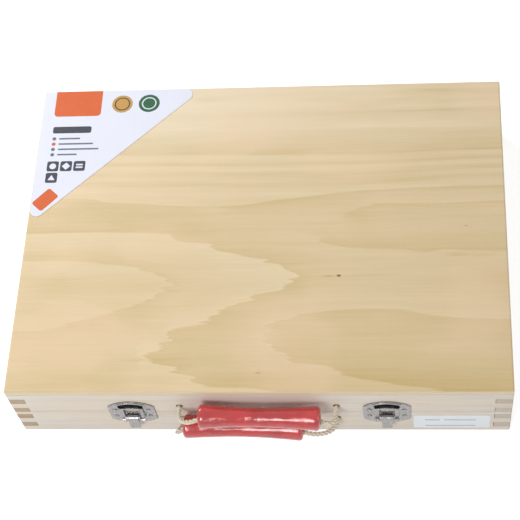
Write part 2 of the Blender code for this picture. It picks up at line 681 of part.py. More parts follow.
def build_latches(lid, base_boards, lid_boards):
    """Both latches with their nails and the nails' holes."""
    none = Vector((0, 0, 0))
    for side_name, side in SIDES.items():
        centre_x = side * LATCH_SPACING / 2
        build_catch(side_name, centre_x, lid, lid_boards["front_board"])
        build_base_plate(side_name, centre_x)
        build_loop(side_name, build_lever(side_name, centre_x))
        head = FRONT - PLATE_FRONT - METAL_GAP
        spots = [centre_x - PLATE_NAIL_SPREAD, centre_x + PLATE_NAIL_SPREAD]
        high, low = SEAM + PLATE_NAIL_HEIGHT, SEAM - PLATE_NAIL_HEIGHT
        for number, x in enumerate(spots, 1):
            add_nail("%s_catch_nail_%d" % (side_name, number), x, head, high, -1, lid, Vector(lid.location))
            add_nail("%s_base_nail_%d" % (side_name, number), x, head, low, -1, None, none)
        radius = NAIL_SHANK_RADIUS + NAIL_CLEARANCE
        drill([(-1, lid_boards["front_board"], side_name)], "catch_holes_", [(x, high) for x in spots], radius)
        drill([(-1, base_boards["front_board"], side_name)], "base_holes_", [(x, low) for x in spots], radius)


# Butt hinges on the back
def knuckle_spans():
    """The stretches along a hinge's width, each with True where the lower leaf owns it."""
    step = HINGE_WIDTH / HINGE_KNUCKLES
    spans = []
    for i in range(HINGE_KNUCKLES):
        start = -HINGE_WIDTH / 2 + i * step + (HINGE_KNUCKLE_GAP / 2 if i else 0)
        last = i == HINGE_KNUCKLES - 1
        end = -HINGE_WIDTH / 2 + (i + 1) * step - (0 if last else HINGE_KNUCKLE_GAP / 2)
        spans.append((start, end, i % 2 == 0))
    return spans


def leaf_profile():
    """Side view of a leaf about its pin: (outward, height). A flat strip curls into a full eye."""
    back = -HINGE_BARREL_RADIUS
    front = back + HINGE_LEAF_THICKNESS
    meet = math.degrees(math.acos(-front / HINGE_BARREL_RADIUS))
    eye = arc((0, 0), HINGE_BARREL_RADIUS, 180 + meet, 540, ROUND_STEPS)
    return [(back, -HINGE_LEAF_HEIGHT), (front, -HINGE_LEAF_HEIGHT)] + eye


def build_leaf(name, centre_x, sign, lower, holder, origin):
    """A leaf: a strip curled round the pin, notched where the other leaf's knuckles run."""
    bore = circle((0, 0), HINGE_PIN_RADIUS + PIN_CLEARANCE)
    mesh = sheet_mesh(name, [[(out, sign * up) for out, up in leaf_profile()], bore], HINGE_WIDTH)
    place = Vector((centre_x, HINGE_AXIS_Y, SEAM)) - origin
    leaf = add_part(name, mesh, NICKEL, holder, place, (math.pi / 2, 0, math.pi / 2))
    clear = HINGE_BARREL_RADIUS + HINGE_KNUCKLE_GAP
    gaps = []
    for start, end, owned_by_lower in knuckle_spans():
        if owned_by_lower != lower:
            reach = sorted((-sign * clear, sign * (clear + OVERRUN)))
            gaps.append(((start - HINGE_KNUCKLE_GAP - (OVERRUN if start < clear - HINGE_WIDTH / 2 else 0), -clear,
                          reach[0]),
                         (end + HINGE_KNUCKLE_GAP + (OVERRUN if end > HINGE_WIDTH / 2 - clear else 0), clear,
                          reach[1])))
    comb = add_cutter(name + "_gaps", blocks_mesh(name + "_gaps", gaps), holder, place)
    combine(leaf, comb, "DIFFERENCE")
    half, corner, foot = HINGE_WIDTH / 2, HINGE_LEAF_CORNER, -HINGE_LEAF_HEIGHT
    shield = [(half + OVERRUN, clear), (-half - OVERRUN, clear), (-half - OVERRUN, foot + corner + OVERRUN)]
    shield += arc((-half + corner, foot + corner), corner, 180, 270, 4)
    shield += arc((half - corner, foot + corner), corner, 270, 360, 4)
    shield += [(half + OVERRUN, foot + corner + OVERRUN)]
    holes = [circle((side * HINGE_NAIL_SPREAD, -HINGE_NAIL_DROP), NAIL_SHANK_RADIUS + NAIL_CLEARANCE)
             for side in (-1, 1)]
    faces = [[(x, sign * z) for x, z in outline] for outline in [shield] + holes]
    trim = add_cutter(name + "_trim", sheet_mesh(name + "_trim", faces, 4 * clear), holder, place, (math.pi / 2, 0, 0))
    combine(leaf, trim, "INTERSECT")
    return leaf


def build_hinges(lid, base_boards, lid_boards):
    """Both hinges with their pins, nails and the nails' holes."""
    none = Vector((0, 0, 0))
    origin = Vector(lid.location)
    for side_name, side in SIDES.items():
        centre_x = side * HINGE_SPACING / 2
        build_leaf(side_name + "_hinge_lower_leaf", centre_x, 1, True, None, none)
        build_leaf(side_name + "_hinge_upper_leaf", centre_x, -1, False, lid, origin)
        half = HINGE_WIDTH / 2 + METAL_GAP
        profile = [(0, half + HINGE_PIN_HEAD), (HINGE_PIN_RADIUS, half + HINGE_PIN_HEAD / 2),
                   (HINGE_PIN_RADIUS, -half - HINGE_PIN_HEAD / 2), (0, -half - HINGE_PIN_HEAD)]
        turned_part(side_name + "_hinge_pin", profile, NICKEL, None, (centre_x, HINGE_AXIS_Y, SEAM),
                    (0, math.pi / 2, 0), HOLE_STEPS)
        head = BACK + METAL_GAP + HINGE_LEAF_THICKNESS + METAL_GAP
        spots = [centre_x - HINGE_NAIL_SPREAD, centre_x + HINGE_NAIL_SPREAD]
        low, high = SEAM - HINGE_NAIL_DROP, SEAM + HINGE_NAIL_DROP
        for number, x in enumerate(spots, 1):
            add_nail("%s_hinge_lower_nail_%d" % (side_name, number), x, head, low, 1, None, none)
            add_nail("%s_hinge_upper_nail_%d" % (side_name, number), x, head, high, 1, lid, origin)
        radius = NAIL_SHANK_RADIUS + NAIL_CLEARANCE
        drill([(1, base_boards["back_board"], side_name)], "hinge_low_", [(x, low) for x in spots], radius)
        drill([(1, lid_boards["back_board"], side_name)], "hinge_high_", [(x, high) for x in spots], radius)


# Rope handles
def grip_profile():
    """Down the outer side of a dog-bone grip with rounded ends, then back up its bore."""
    half = GRIP_LENGTH / 2
    end = GRIP_END_ROUND
    points = [(GRIP_BORE_RADIUS, half)]
    points += arc((GRIP_END_RADIUS - end, half - end), end, 90, 0, 4)
    for i in range(1, CURVE_STEPS):
        place = 1 - 2 * i / CURVE_STEPS
        swell = (GRIP_END_RADIUS - GRIP_WAIST_RADIUS) * abs(place) ** GRIP_SWELL_POWER
        points.append((GRIP_WAIST_RADIUS + swell, (half - end) * place))
    points += arc((GRIP_END_RADIUS - end, end - half), end, 0, -90, 4)
    points.append((GRIP_BORE_RADIUS, -half))
    return points


def bezier(start, start_pull, end_pull, end, steps):
    """Points on a cubic curve through start and end."""
    points = []
    for i in range(steps + 1):
        t = i / steps
        weights = ((1 - t) ** 3, 3 * t * (1 - t) ** 2, 3 * t ** 2 * (1 - t), t ** 3)
        corners = (start, start_pull, end_pull, end)
        points.append(sum((w * Vector(c) for w, c in zip(weights, corners)), Vector((0, 0, 0))))
    return points


def rope_route(shift):
    """The rope in the handle's frame, where -Y points from the holes to the grip.

    It leaves each hole below that direction, dips, and lies on the lower outer side of the bore.
    """
    droop, lie = math.radians(ROPE_DROOP_DEG), math.radians(ROPE_LIE_DEG)
    offset = GRIP_BORE_RADIUS - ROPE_RADIUS - GRIP_BORE_GAP
    outward = GRIP_REACH + offset * math.cos(lie)
    slope = math.tan(math.radians(GRIP_TILT_DEG))
    runs = []
    for side in (-1, 1):
        hole = side * ROPE_HOLE_SPACING / 2
        mouth = shift + side * (GRIP_LENGTH / 2 + ROPE_MOUTH)
        height = -slope * (mouth - shift) - offset * math.sin(lie)
        start_pull = (hole, -ROPE_PULL * math.cos(droop), -ROPE_PULL * math.sin(droop))
        end_pull = (mouth + side * ROPE_SWEEP, -outward - ROPE_DIP / 2, height - ROPE_DIP)
        runs.append(bezier((hole, 0, 0), start_pull, end_pull, (mouth, -outward, height), ROPE_STEPS))
    return runs[0] + list(reversed(runs[1]))


def build_handle(prefix, height, lift_deg, shift, holder, origin):
    """A grip on its rope, turning about the line through its two rope holes."""
    place = Vector((0, FRONT - ROPE_AXIS_STANDOUT, height)) - origin
    axis = add_axis(prefix + "handle_axis", place, holder, -math.radians(lift_deg))
    turn = (0, math.pi / 2 + math.radians(GRIP_TILT_DEG), 0)
    turned_part(prefix + "grip", grip_profile(), RED_GLOSS, axis, (shift, -GRIP_REACH, 0), turn, closed=True)
    name = prefix + "handle_rope"
    rope = add_part(name, tube_mesh(name, rope_route(shift), ROPE_RADIUS), COTTON, axis)
    shade_round(rope.data)
    shape = bmesh.new()
    for side in (-1, 1):
        where = Matrix.Translation((side * ROPE_HOLE_SPACING / 2, 0, 0))
        bmesh.ops.create_uvsphere(shape, u_segments=HOLE_STEPS, v_segments=HOLE_STEPS // 2, radius=ROPE_RADIUS,
                                  matrix=where)
    combine(rope, add_cutter(name + "_ends", mesh_of(shape, name + "_ends"), axis), "UNION")
    return axis


def knot_profile():
    """Down the outer side of a stub that ends in a knot of wound turns."""
    bulge = KNOT_RADIUS / 2
    start = ROPE_END_GAP + ROPE_RADIUS - ROPE_AXIS_STANDOUT
    face = BOARD_THICKNESS + KNOT_GAP
    points = [(0, -start), (ROPE_RADIUS, -start), (ROPE_RADIUS, -face)]
    for turn in range(KNOT_TURNS):
        middle = -face - bulge * (1 + 1.7 * turn)
        first = 80 if turn == 0 else 55
        last = -80 if turn == KNOT_TURNS - 1 else -55
        points += arc((KNOT_RADIUS - bulge, middle), bulge, first, last, KNOT_STEPS)
    points.append((0, points[-1][1]))
    return points


def build_knots(prefix, height, holder, origin, front_board):
    """The rope's two ends: a stub in each hole and a knot behind the board, with a short tail."""
    for side_name, side in SIDES.items():
        name = "%s%s_knot" % (prefix, side_name)
        x = side * ROPE_HOLE_SPACING / 2
        place = Vector((x, FRONT, height)) - origin
        knot = turned_part(name, knot_profile(), COTTON, holder, place, (math.pi / 2, 0, 0), HOLE_STEPS)
        depth = BOARD_THICKNESS + KNOT_GAP + KNOT_RADIUS
        tilt = math.radians(TAIL_TILT_DEG)
        reach = KNOT_RADIUS + TAIL_LENGTH
        tail = [((0, depth, 0), (-side * reach * math.cos(tilt), depth + reach * math.sin(tilt), 0), ROPE_RADIUS)]
        combine(knot, add_cutter(name + "_tail", rods_mesh(name + "_tail", tail, HOLE_STEPS), holder, place), "UNION")
    spots = [(side * ROPE_HOLE_SPACING / 2, height) for side in (-1, 1)]
    drill([(-1, front_board, prefix)], "rope_holes_", spots, ROPE_HOLE_RADIUS)


ENVELOPE = case_envelope()
LID = add_axis("lid_axis", (0, HINGE_AXIS_Y, SEAM))
BASE_BOARDS = build_base()
LID_BOARDS = build_lid(LID)
build_latches(LID, BASE_BOARDS, LID_BOARDS)
build_hinges(LID, BASE_BOARDS, LID_BOARDS)
UPPER_HOLE = SEAM + ROPE_HOLE_FROM_SEAM
LOWER_HOLE = SEAM - ROPE_HOLE_FROM_SEAM
ORIGIN = Vector((0, 0, 0))
build_handle("upper_", UPPER_HOLE, UPPER_LIFT_DEG, UPPER_GRIP_SHIFT, LID, Vector(LID.location))
build_handle("lower_", LOWER_HOLE, LOWER_LIFT_DEG, LOWER_GRIP_SHIFT, None, ORIGIN)
build_knots("upper_", UPPER_HOLE, LID, Vector(LID.location), LID_BOARDS["front_board"])
build_knots("lower_", LOWER_HOLE, None, ORIGIN, BASE_BOARDS["front_board"])
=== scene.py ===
"""Looks of the toy tool box: finishes for its wood, metal, lacquer, rope and paper.

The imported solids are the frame. Boards, panels, latches and hinges keep their solids and get a
finish; the grips, ropes and knots are made again with their full form, and two paper labels are
laid on. Shapes are in metres; finishes and the labels' outlines are in millimetres; all of them
are in the frame of the solids.
"""

import json
import logging
import math
from dataclasses import dataclass
from enum import Enum
from typing import Any, Callable, Iterable, Optional, Sequence, Union

import bmesh
import bpy
from mathutils import Matrix, Vector

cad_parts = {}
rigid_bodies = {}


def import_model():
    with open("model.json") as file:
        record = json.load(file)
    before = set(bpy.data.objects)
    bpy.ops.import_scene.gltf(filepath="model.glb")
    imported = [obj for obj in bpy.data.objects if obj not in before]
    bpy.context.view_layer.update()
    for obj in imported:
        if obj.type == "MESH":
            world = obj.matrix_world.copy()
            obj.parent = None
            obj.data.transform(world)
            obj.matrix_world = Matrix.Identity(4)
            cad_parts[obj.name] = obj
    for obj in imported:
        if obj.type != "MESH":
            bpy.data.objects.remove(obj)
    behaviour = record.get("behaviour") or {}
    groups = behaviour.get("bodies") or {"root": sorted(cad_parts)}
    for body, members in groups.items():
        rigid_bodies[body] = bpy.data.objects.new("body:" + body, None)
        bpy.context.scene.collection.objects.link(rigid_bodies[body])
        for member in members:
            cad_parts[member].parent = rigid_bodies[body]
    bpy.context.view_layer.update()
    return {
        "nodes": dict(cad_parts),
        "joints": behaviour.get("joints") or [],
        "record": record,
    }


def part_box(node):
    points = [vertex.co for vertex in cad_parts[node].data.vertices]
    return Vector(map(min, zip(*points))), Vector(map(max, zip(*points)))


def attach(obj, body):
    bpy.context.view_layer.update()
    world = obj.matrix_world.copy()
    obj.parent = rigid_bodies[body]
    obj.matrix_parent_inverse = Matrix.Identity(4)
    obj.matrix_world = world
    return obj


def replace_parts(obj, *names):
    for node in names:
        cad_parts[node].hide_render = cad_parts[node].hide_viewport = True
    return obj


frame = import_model()
LOG = logging.getLogger("toy_tool_box")

MM = 0.001


def edge_of(node: str, end: int, axis: int) -> float:
    """A solid's lowest (end 0) or highest (end 1) place along an axis, to a micron."""
    return round(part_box(node)[end][axis], 6)


CASE_HALF_DEPTH = -edge_of("lower_front_board", 0, 1)
CASE_HEIGHT = edge_of("upper_panel", 1, 2)
LATCH_PLACE = (edge_of("right_catch_plate", 0, 0) + edge_of("right_catch_plate", 1, 0)) / 2

Colour = tuple[float, float, float]
Point = tuple[float, float]
Corner = tuple[float, float, float]


def from_screen(red: int, green: int, blue: int) -> Colour:
    """Turns a screen colour into the linear one that a shader takes, by the sRGB curve.

    Args:
        red: Red from 0 to 255.
        green: Green from 0 to 255.
        blue: Blue from 0 to 255.

    Returns:
        The linear colour.
    """
    shares = (red / 255, green / 255, blue / 255)
    return tuple(share / 12.92 if share <= 0.04045 else ((share + 0.055) / 1.055) ** 2.4 for share in shares)


def sum_of(operation: str) -> Callable[..., "Wire"]:
    """Makes a method that puts a Math node after a wire.

    Args:
        operation: Name of the node's operation.

    Returns:
        The method.
    """
    def method(wire: "Wire", other: "Feed" = 0.0) -> "Wire":
        """Feeds the wire and the other value to the node."""
        return wire.sheet.math(operation, wire, other)

    return method


class Wire:
    """An output of a shader node that can be added, scaled and compared like a number."""

    __add__ = sum_of("ADD")
    __sub__ = sum_of("SUBTRACT")
    __mul__ = sum_of("MULTIPLY")
    __truediv__ = sum_of("DIVIDE")
    size = sum_of("ABSOLUTE")
    least = sum_of("MINIMUM")
    most = sum_of("MAXIMUM")
    above = sum_of("GREATER_THAN")
    below = sum_of("LESS_THAN")

    def __init__(self, sheet: "NodeSheet", socket: bpy.types.NodeSocket) -> None:
        """Keeps the socket and the sheet that its sums are drawn on."""
        self.sheet = sheet
        self.socket = socket

    def __rsub__(self, whole: float) -> "Wire":
        """Takes the value away from a number."""
        return self.sheet.math("SUBTRACT", whole, self)

    def __neg__(self) -> "Wire":
        """The value with its sign turned."""
        return self * -1.0

    def faded(self) -> "Wire":
        """One at zero, falling off quickly as the value grows."""
        return self.sheet.math("EXPONENT", -self)

    def clipped(self) -> "Wire":
        """The value held between zero and one."""
        return self.sheet.math("MULTIPLY", self, 1.0, clamp=True)

    def eased(self, low: float, high: float, first: float = 0.0, last: float = 1.0) -> "Wire":
        """Runs smoothly from first to last while the value goes from low to high."""
        limits = {"Value": self, "From Min": low, "From Max": high, "To Min": first, "To Max": last}
        return self.sheet.placed("ShaderNodeMapRange", limits, "Result", interpolation_type="SMOOTHSTEP")


Feed = Union[Wire, float, int, Sequence[float]]


class NodeSheet:
    """A node tree being drawn, with a short call for each kind of node used here."""

    def __init__(self, tree: bpy.types.NodeTree) -> None:
        """Starts on a tree whose nodes are cleared."""
        self.tree = tree
        tree.nodes.clear()

    def node(self, kind: str, **settings: object) -> bpy.types.Node:
        """Adds a node.

        Args:
            kind: Blender's name of its type.
            settings: Properties to set on it.

        Returns:
            The node.
        """
        made = self.tree.nodes.new(kind)
        for name, value in settings.items():
            setattr(made, name, value)
        return made

    def feed(self, socket: bpy.types.NodeSocket, value: Feed) -> None:
        """Links a wire to a socket, or writes a plain value on it.

        Args:
            socket: The socket.
            value: A wire, number, vector or colour.
        """
        if isinstance(value, Wire):
            self.tree.links.new(value.socket, socket)
        elif isinstance(value, (int, float)):
            socket.default_value = value
        else:
            missing = len(socket.default_value) - len(value)
            socket.default_value = tuple(value) + (1.0,) * missing

    def placed(self, kind: str, inputs: dict[Union[str, int], Feed], output: Union[str, int] = 0,
               **settings: object) -> Wire:
        """Adds a node, feeds it and takes one of its outputs.

        Args:
            kind: Blender's name of its type.
            inputs: Values for its inputs, by name or number.
            output: Name or number of the output.
            settings: Properties to set on it.

        Returns:
            The output.
        """
        made = self.node(kind, **settings)
        for key, value in inputs.items():
            self.feed(made.inputs[key], value)
        return Wire(self, made.outputs[output])

    def math(self, operation: str, first: Feed, second: Feed = 0.0, clamp: bool = False) -> Wire:
        """Adds one sum, held between zero and one where it is clamped."""
        return self.placed("ShaderNodeMath", {0: first, 1: second}, operation=operation, use_clamp=clamp)

    def mix(self, share: Feed, first: Feed, second: Feed, mode: str = "MIX") -> Wire:
        """Mixes two colours, by the share of the second one and the name of the blend."""
        values = {"Factor": share, 6: first, 7: second}
        return self.placed("ShaderNodeMix", values, 2, data_type="RGBA", blend_type=mode)

    def noise(self, vector: Wire, scale: float = 1.0, detail: float = 3.0, rough: float = 0.5,
              warp: float = 0.0) -> Wire:
        """Noise around 0.5, by features in one unit, finer layers, their strength and its own bending."""
        values = {"Vector": vector, "Scale": scale, "Detail": detail, "Roughness": rough, "Distortion": warp}
        return self.placed("ShaderNodeTexNoise", values, "Fac")

    def cells(self, vector: Wire, scale: float) -> Wire:
        """Distance to the nearest of many scattered points."""
        return self.placed("ShaderNodeTexVoronoi", {"Vector": vector, "Scale": scale}, "Distance")

    def stretched(self, vector: Wire, scale: Colour) -> Wire:
        """A vector scaled along each of its axes."""
        return self.placed("ShaderNodeMapping", {"Vector": vector, "Scale": scale})

    def split(self, vector: Wire) -> tuple[Wire, Wire, Wire]:
        """The three parts of a vector."""
        parts = self.placed("ShaderNodeSeparateXYZ", {0: vector}).socket.node.outputs
        return tuple(Wire(self, part) for part in parts)

    def joined(self, x: Feed, y: Feed, z: Feed) -> Wire:
        """A vector from three values."""
        return self.placed("ShaderNodeCombineXYZ", {0: x, 1: y, 2: z})

    def curve(self, value: Wire, places: Sequence[Point], low: Point, high: Point) -> Wire:
        """Reads a drawn line: its height at a place along it.

        Args:
            value: Place along the line.
            places: Points of the line, left to right.
            low: Lowest place and height of the chart.
            high: Highest place and height of the chart.

        Returns:
            Height of the line at the value.
        """
        made = self.node("ShaderNodeFloatCurve")
        line = made.mapping.curves[0]
        for _ in range(len(places) - 2):
            line.points.new(0.5, 0.5)
        for knot, (x, y) in zip(line.points, places):
            knot.location = ((x - low[0]) / (high[0] - low[0]), (y - low[1]) / (high[1] - low[1]))
            knot.handle_type = "AUTO_CLAMPED"
        made.mapping.update()
        self.feed(made.inputs["Value"], (value - low[0]) / (high[0] - low[0]))
        return Wire(self, made.outputs[0]) * (high[1] - low[1]) + low[1]

    def ramp(self, share: Wire, stops: Sequence[Point]) -> Wire:
        """Reads a row of grey levels.

        Args:
            share: Place along the row, from 0 to 1.
            stops: Place and level of each stop.

        Returns:
            The level, eased between the stops.
        """
        made = self.node("ShaderNodeValToRGB")
        made.color_ramp.interpolation = "EASE"
        points = made.color_ramp.elements
        while len(points) < len(stops):
            points.new(0.5)
        for point, (place, level) in zip(points, stops):
            point.position = place
            point.color = (level, level, level, 1.0)
        self.feed(made.inputs["Fac"], share)
        return Wire(self, made.outputs["Color"])

    def bump(self, height: Wire, strength: float, depth: float, normal: Optional[Wire] = None) -> Wire:
        """Raises the surface by a height.

        Args:
            height: The height.
            strength: Share of the relief that shows.
            depth: Depth of a height of one, in metres.
            normal: Normal to start from, else the surface's own.

        Returns:
            The raised normal.
        """
        values = {"Strength": strength, "Distance": depth, "Height": height}
        if normal is not None:
            values["Normal"] = normal
        return self.placed("ShaderNodeBump", values)

    def place(self) -> Wire:
        """Position on the piece in millimetres, which rides with it."""
        return self.stretched(self.placed("ShaderNodeTexCoord", {}, "Object"), (1 / MM, 1 / MM, 1 / MM))

    def facing(self) -> Wire:
        """Normal in the piece's own frame, which rides with it."""
        return self.placed("ShaderNodeTexCoord", {}, "Normal")

    def effect(self, shared: "SharedEffect", **values: Feed) -> dict[str, Wire]:
        """Places a shared effect.

        Args:
            shared: The effect.
            values: Values for its inputs, with spaces in their names as underscores.

        Returns:
            Its outputs by name.
        """
        made = self.node("ShaderNodeGroup", node_tree=shared.group())
        for name, value in values.items():
            self.feed(made.inputs[name.replace("_", " ")], value)
        return {socket.name: Wire(self, socket) for socket in made.outputs}


class SharedEffect:
    """A node group used by several finishes, built once."""

    title = "effect"
    inputs: tuple[tuple[str, str, float], ...] = ()
    outputs: tuple[tuple[str, str], ...] = ()

    def draw(self, sheet: NodeSheet, given: dict[str, Wire]) -> dict[str, Wire]:
        """Draws the effect; each effect has its own."""
        raise NotImplementedError

    def group(self) -> bpy.types.NodeTree:
        """The node group, made at the first call.

        Returns:
            The group.
        """
        made = bpy.data.node_groups.get(self.title)
        if made is not None:
            return made
        made = bpy.data.node_groups.new(self.title, "ShaderNodeTree")
        kinds = {"value": "NodeSocketFloat", "vector": "NodeSocketVector"}
        for name, kind, start in self.inputs:
            socket = made.interface.new_socket(name, in_out="INPUT", socket_type=kinds[kind])
            if kind == "value":
                socket.default_value = start
        for name, kind in self.outputs:
            made.interface.new_socket(name, in_out="OUTPUT", socket_type=kinds[kind])
        sheet = NodeSheet(made)
        entry = sheet.node("NodeGroupInput")
        leave = sheet.node("NodeGroupOutput")
        given = {socket.name: Wire(sheet, socket) for socket in entry.outputs if socket.name}
        for name, wire in self.draw(sheet, given).items():
            sheet.feed(leave.inputs[name], wire)
        return made


class TimberGrain(SharedEffect):
    """Straight grain along X of its vector: growth bands, fine streaks and short pores."""

    title = "timber_grain"
    inputs = (("Vector", "vector", 0.0), ("Band Width", "value", 9.0), ("Wander", "value", 1.0))
    outputs = (("Bands", "value"), ("Streaks", "value"), ("Pores", "value"))

    def draw(self, sheet: NodeSheet, given: dict[str, Wire]) -> dict[str, Wire]:
        """Draws bands, streaks and pores; each divisor is a feature's length in millimetres.

        Args:
            sheet: Sheet of the group.
            given: Its inputs by name.

        Returns:
            Its outputs by name.
        """
        x, y, z = sheet.split(given["Vector"])
        sway = sheet.noise(sheet.joined(x / 70.0, y / 25.0, z / 25.0), 1.0, 1.0) - 0.5
        across = (y + z * 0.9 + sway * given["Wander"] * 14.0) / given["Band Width"]
        bands = sheet.noise(sheet.joined(x / 160.0, across, across * 0.31), 1.0, 3.0, 0.55)
        fine = sheet.noise(sheet.joined(x / 26.0, y / 0.55, z / 0.55), 1.0, 3.0, 0.6)
        coarse = sheet.noise(sheet.joined(x / 60.0, y / 2.1, z / 2.1), 1.0, 2.0, 0.5)
        dashes = sheet.noise(sheet.joined(x / 4.5, y / 0.28, z / 0.28), 1.0, 1.0)
        return {"Bands": bands, "Streaks": fine * 0.55 + coarse * 0.45, "Pores": dashes.eased(0.66, 0.78)}


class CutEnd(SharedEffect):
    """End grain: bowed growth rings and open pores, read across the ends of a board."""

    title = "cut_end"
    inputs = (("Vector", "vector", 0.0), ("Ring Width", "value", 1.6))
    outputs = (("Rings", "value"), ("Pores", "value"))

    def draw(self, sheet: NodeSheet, given: dict[str, Wire]) -> dict[str, Wire]:
        """Draws ring arcs round a pith far off the board, and pores.

        Args:
            sheet: Sheet of the group.
            given: Its inputs by name.

        Returns:
            Its outputs by name.
        """
        x, y, z = sheet.split(given["Vector"])
        wobble = (sheet.noise(given["Vector"], 0.35, 2.0) - 0.5) * 2.4
        aside, over = x + y * 0.6 + 31.0, z - 64.0
        reach = sheet.math("SQRT", aside * aside + over * over)
        turns = sheet.math("FRACT", (reach + wobble) / given["Ring Width"])
        speck = sheet.noise(given["Vector"], 3.4, 2.0, 0.7)
        return {"Rings": turns * turns, "Pores": speck.eased(0.52, 0.74)}


class SoftEdge(SharedEffect):
    """Rounds the edges of a solid in its shading, and finds them for wear."""

    title = "soft_edge"
    inputs = (("Radius", "value", 0.0004), ("Chafe", "value", 1.0))
    outputs = (("Normal", "vector"), ("Wear", "value"))

    def draw(self, sheet: NodeSheet, given: dict[str, Wire]) -> dict[str, Wire]:
        """Compares the rounded normal with the flat one.

        Args:
            sheet: Sheet of the group.
            given: Its inputs by name.

        Returns:
            Its outputs by name.
        """
        rounded = sheet.placed("ShaderNodeBevel", {"Radius": given["Radius"]}, samples=6)
        flat = sheet.placed("ShaderNodeNewGeometry", {}, "True Normal")
        along = sheet.placed("ShaderNodeVectorMath", {0: rounded, 1: flat}, "Value", operation="DOT_PRODUCT")
        bend = (1.0 - along).eased(0.02, 0.22)
        patchy = sheet.noise(sheet.place(), 0.6, 3.0, 0.6).eased(0.30, 0.62)
        return {"Normal": rounded, "Wear": bend * patchy * given["Chafe"]}


class HandlingMarks(SharedEffect):
    """What hands leave on a hard surface: smudges, hairline scratches and specks."""

    title = "handling_marks"
    inputs = (("Vector", "vector", 0.0), ("Size", "value", 1.0))
    outputs = (("Smudge", "value"), ("Scratch", "value"), ("Speck", "value"))

    def draw(self, sheet: NodeSheet, given: dict[str, Wire]) -> dict[str, Wire]:
        """Draws the three masks, with the scratches in two directions.

        Args:
            sheet: Sheet of the group.
            given: Its inputs by name.

        Returns:
            Its outputs by name.
        """
        scaling = {0: given["Vector"], "Scale": sheet.math("DIVIDE", 1.0, given["Size"])}
        here = sheet.placed("ShaderNodeVectorMath", scaling, operation="SCALE")
        x, y, z = sheet.split(here)
        smudge = sheet.noise(here, 0.22, 3.0, 0.55, 0.6).eased(0.36, 0.66)
        one = sheet.noise(sheet.joined((x + z) * 0.16, (z - x) * 6.0, y), 1.0, 1.0).eased(0.70, 0.76)
        two = sheet.noise(sheet.joined((x - z * 0.4) * 0.2, (z + x * 0.3) * 7.0, y + 9.0), 1.0, 1.0)
        speck = sheet.cells(here, 0.55).eased(0.16, 0.05)
        rare = sheet.noise(here, 0.3, 1.0).eased(0.52, 0.60)
        return {"Smudge": smudge, "Scratch": one.most(two.eased(0.71, 0.77)), "Speck": speck * rare}


class RingEdge(SharedEffect):
    """Tone of the wood beside a growth ring's edge: dark on one side, pale on the other."""

    title = "ring_edge"
    inputs = (("Distance", "value", 0.0), ("Dark", "value", 6.0), ("Pale", "value", 4.0),
              ("Dark Reach", "value", 9.0), ("Pale Reach", "value", 9.0))
    outputs = (("Tone", "value"),)

    def draw(self, sheet: NodeSheet, given: dict[str, Wire]) -> dict[str, Wire]:
        """Fades both sides away from the edge; the dark side is where the distance is above zero.

        Args:
            sheet: Sheet of the group.
            given: Its inputs by name.

        Returns:
            Its output by name.
        """
        away = given["Distance"].size()
        dark = (away / given["Dark Reach"]).faded() * given["Dark"]
        pale = (away / given["Pale Reach"]).faded() * given["Pale"]
        side = given["Distance"].eased(-0.8, 0.8)
        return {"Tone": dark * side - pale * (1.0 - side)}


TIMBER_GRAIN = TimberGrain()
CUT_END = CutEnd()
SOFT_EDGE = SoftEdge()
HANDLING_MARKS = HandlingMarks()
RING_EDGE = RingEdge()


class Shader:
    """A material's sheet with its Principled shader and output in place."""

    def __init__(self, name: str) -> None:
        """Makes the material and the two nodes.

        Args:
            name: Name of the material.
        """
        self.material = bpy.data.materials.new(name)
        self.material.use_nodes = True
        self.sheet = NodeSheet(self.material.node_tree)
        self.principled = self.sheet.node("ShaderNodeBsdfPrincipled")
        out = self.sheet.node("ShaderNodeOutputMaterial")
        self.sheet.feed(out.inputs["Surface"], Wire(self.sheet, self.principled.outputs[0]))

    def give(self, **values: Feed) -> None:
        """Feeds the shader's sockets, named with underscores for spaces."""
        for name, value in values.items():
            self.sheet.feed(self.principled.inputs[name.replace("_", " ")], value)


@dataclass(frozen=True)
class GrainLine:
    """One growth ring's edge on a veneer, drawn left to right in millimetres.

    The dark side lies above `upper`. Where `lower` is drawn, what lies below it is dark too, down to
    `floor`, so that the pale field between the two is a flame. Depths are in screen levels.
    """

    upper: tuple[Point, ...]
    lower: tuple[Point, ...] = ()
    floor: tuple[Point, ...] = ()
    dark: float = 6.0
    pale: float = 4.0
    dark_reach: float = 9.0
    pale_reach: float = 9.0
    turned: bool = False
    from_x: float = -400.0
    to_x: float = 400.0


@dataclass(frozen=True)
class TonePatch:
    """A soft patch of a veneer's figure, in millimetres; its depth is in screen levels."""

    x: float
    y: float
    half_length: float
    half_width: float
    depth: float


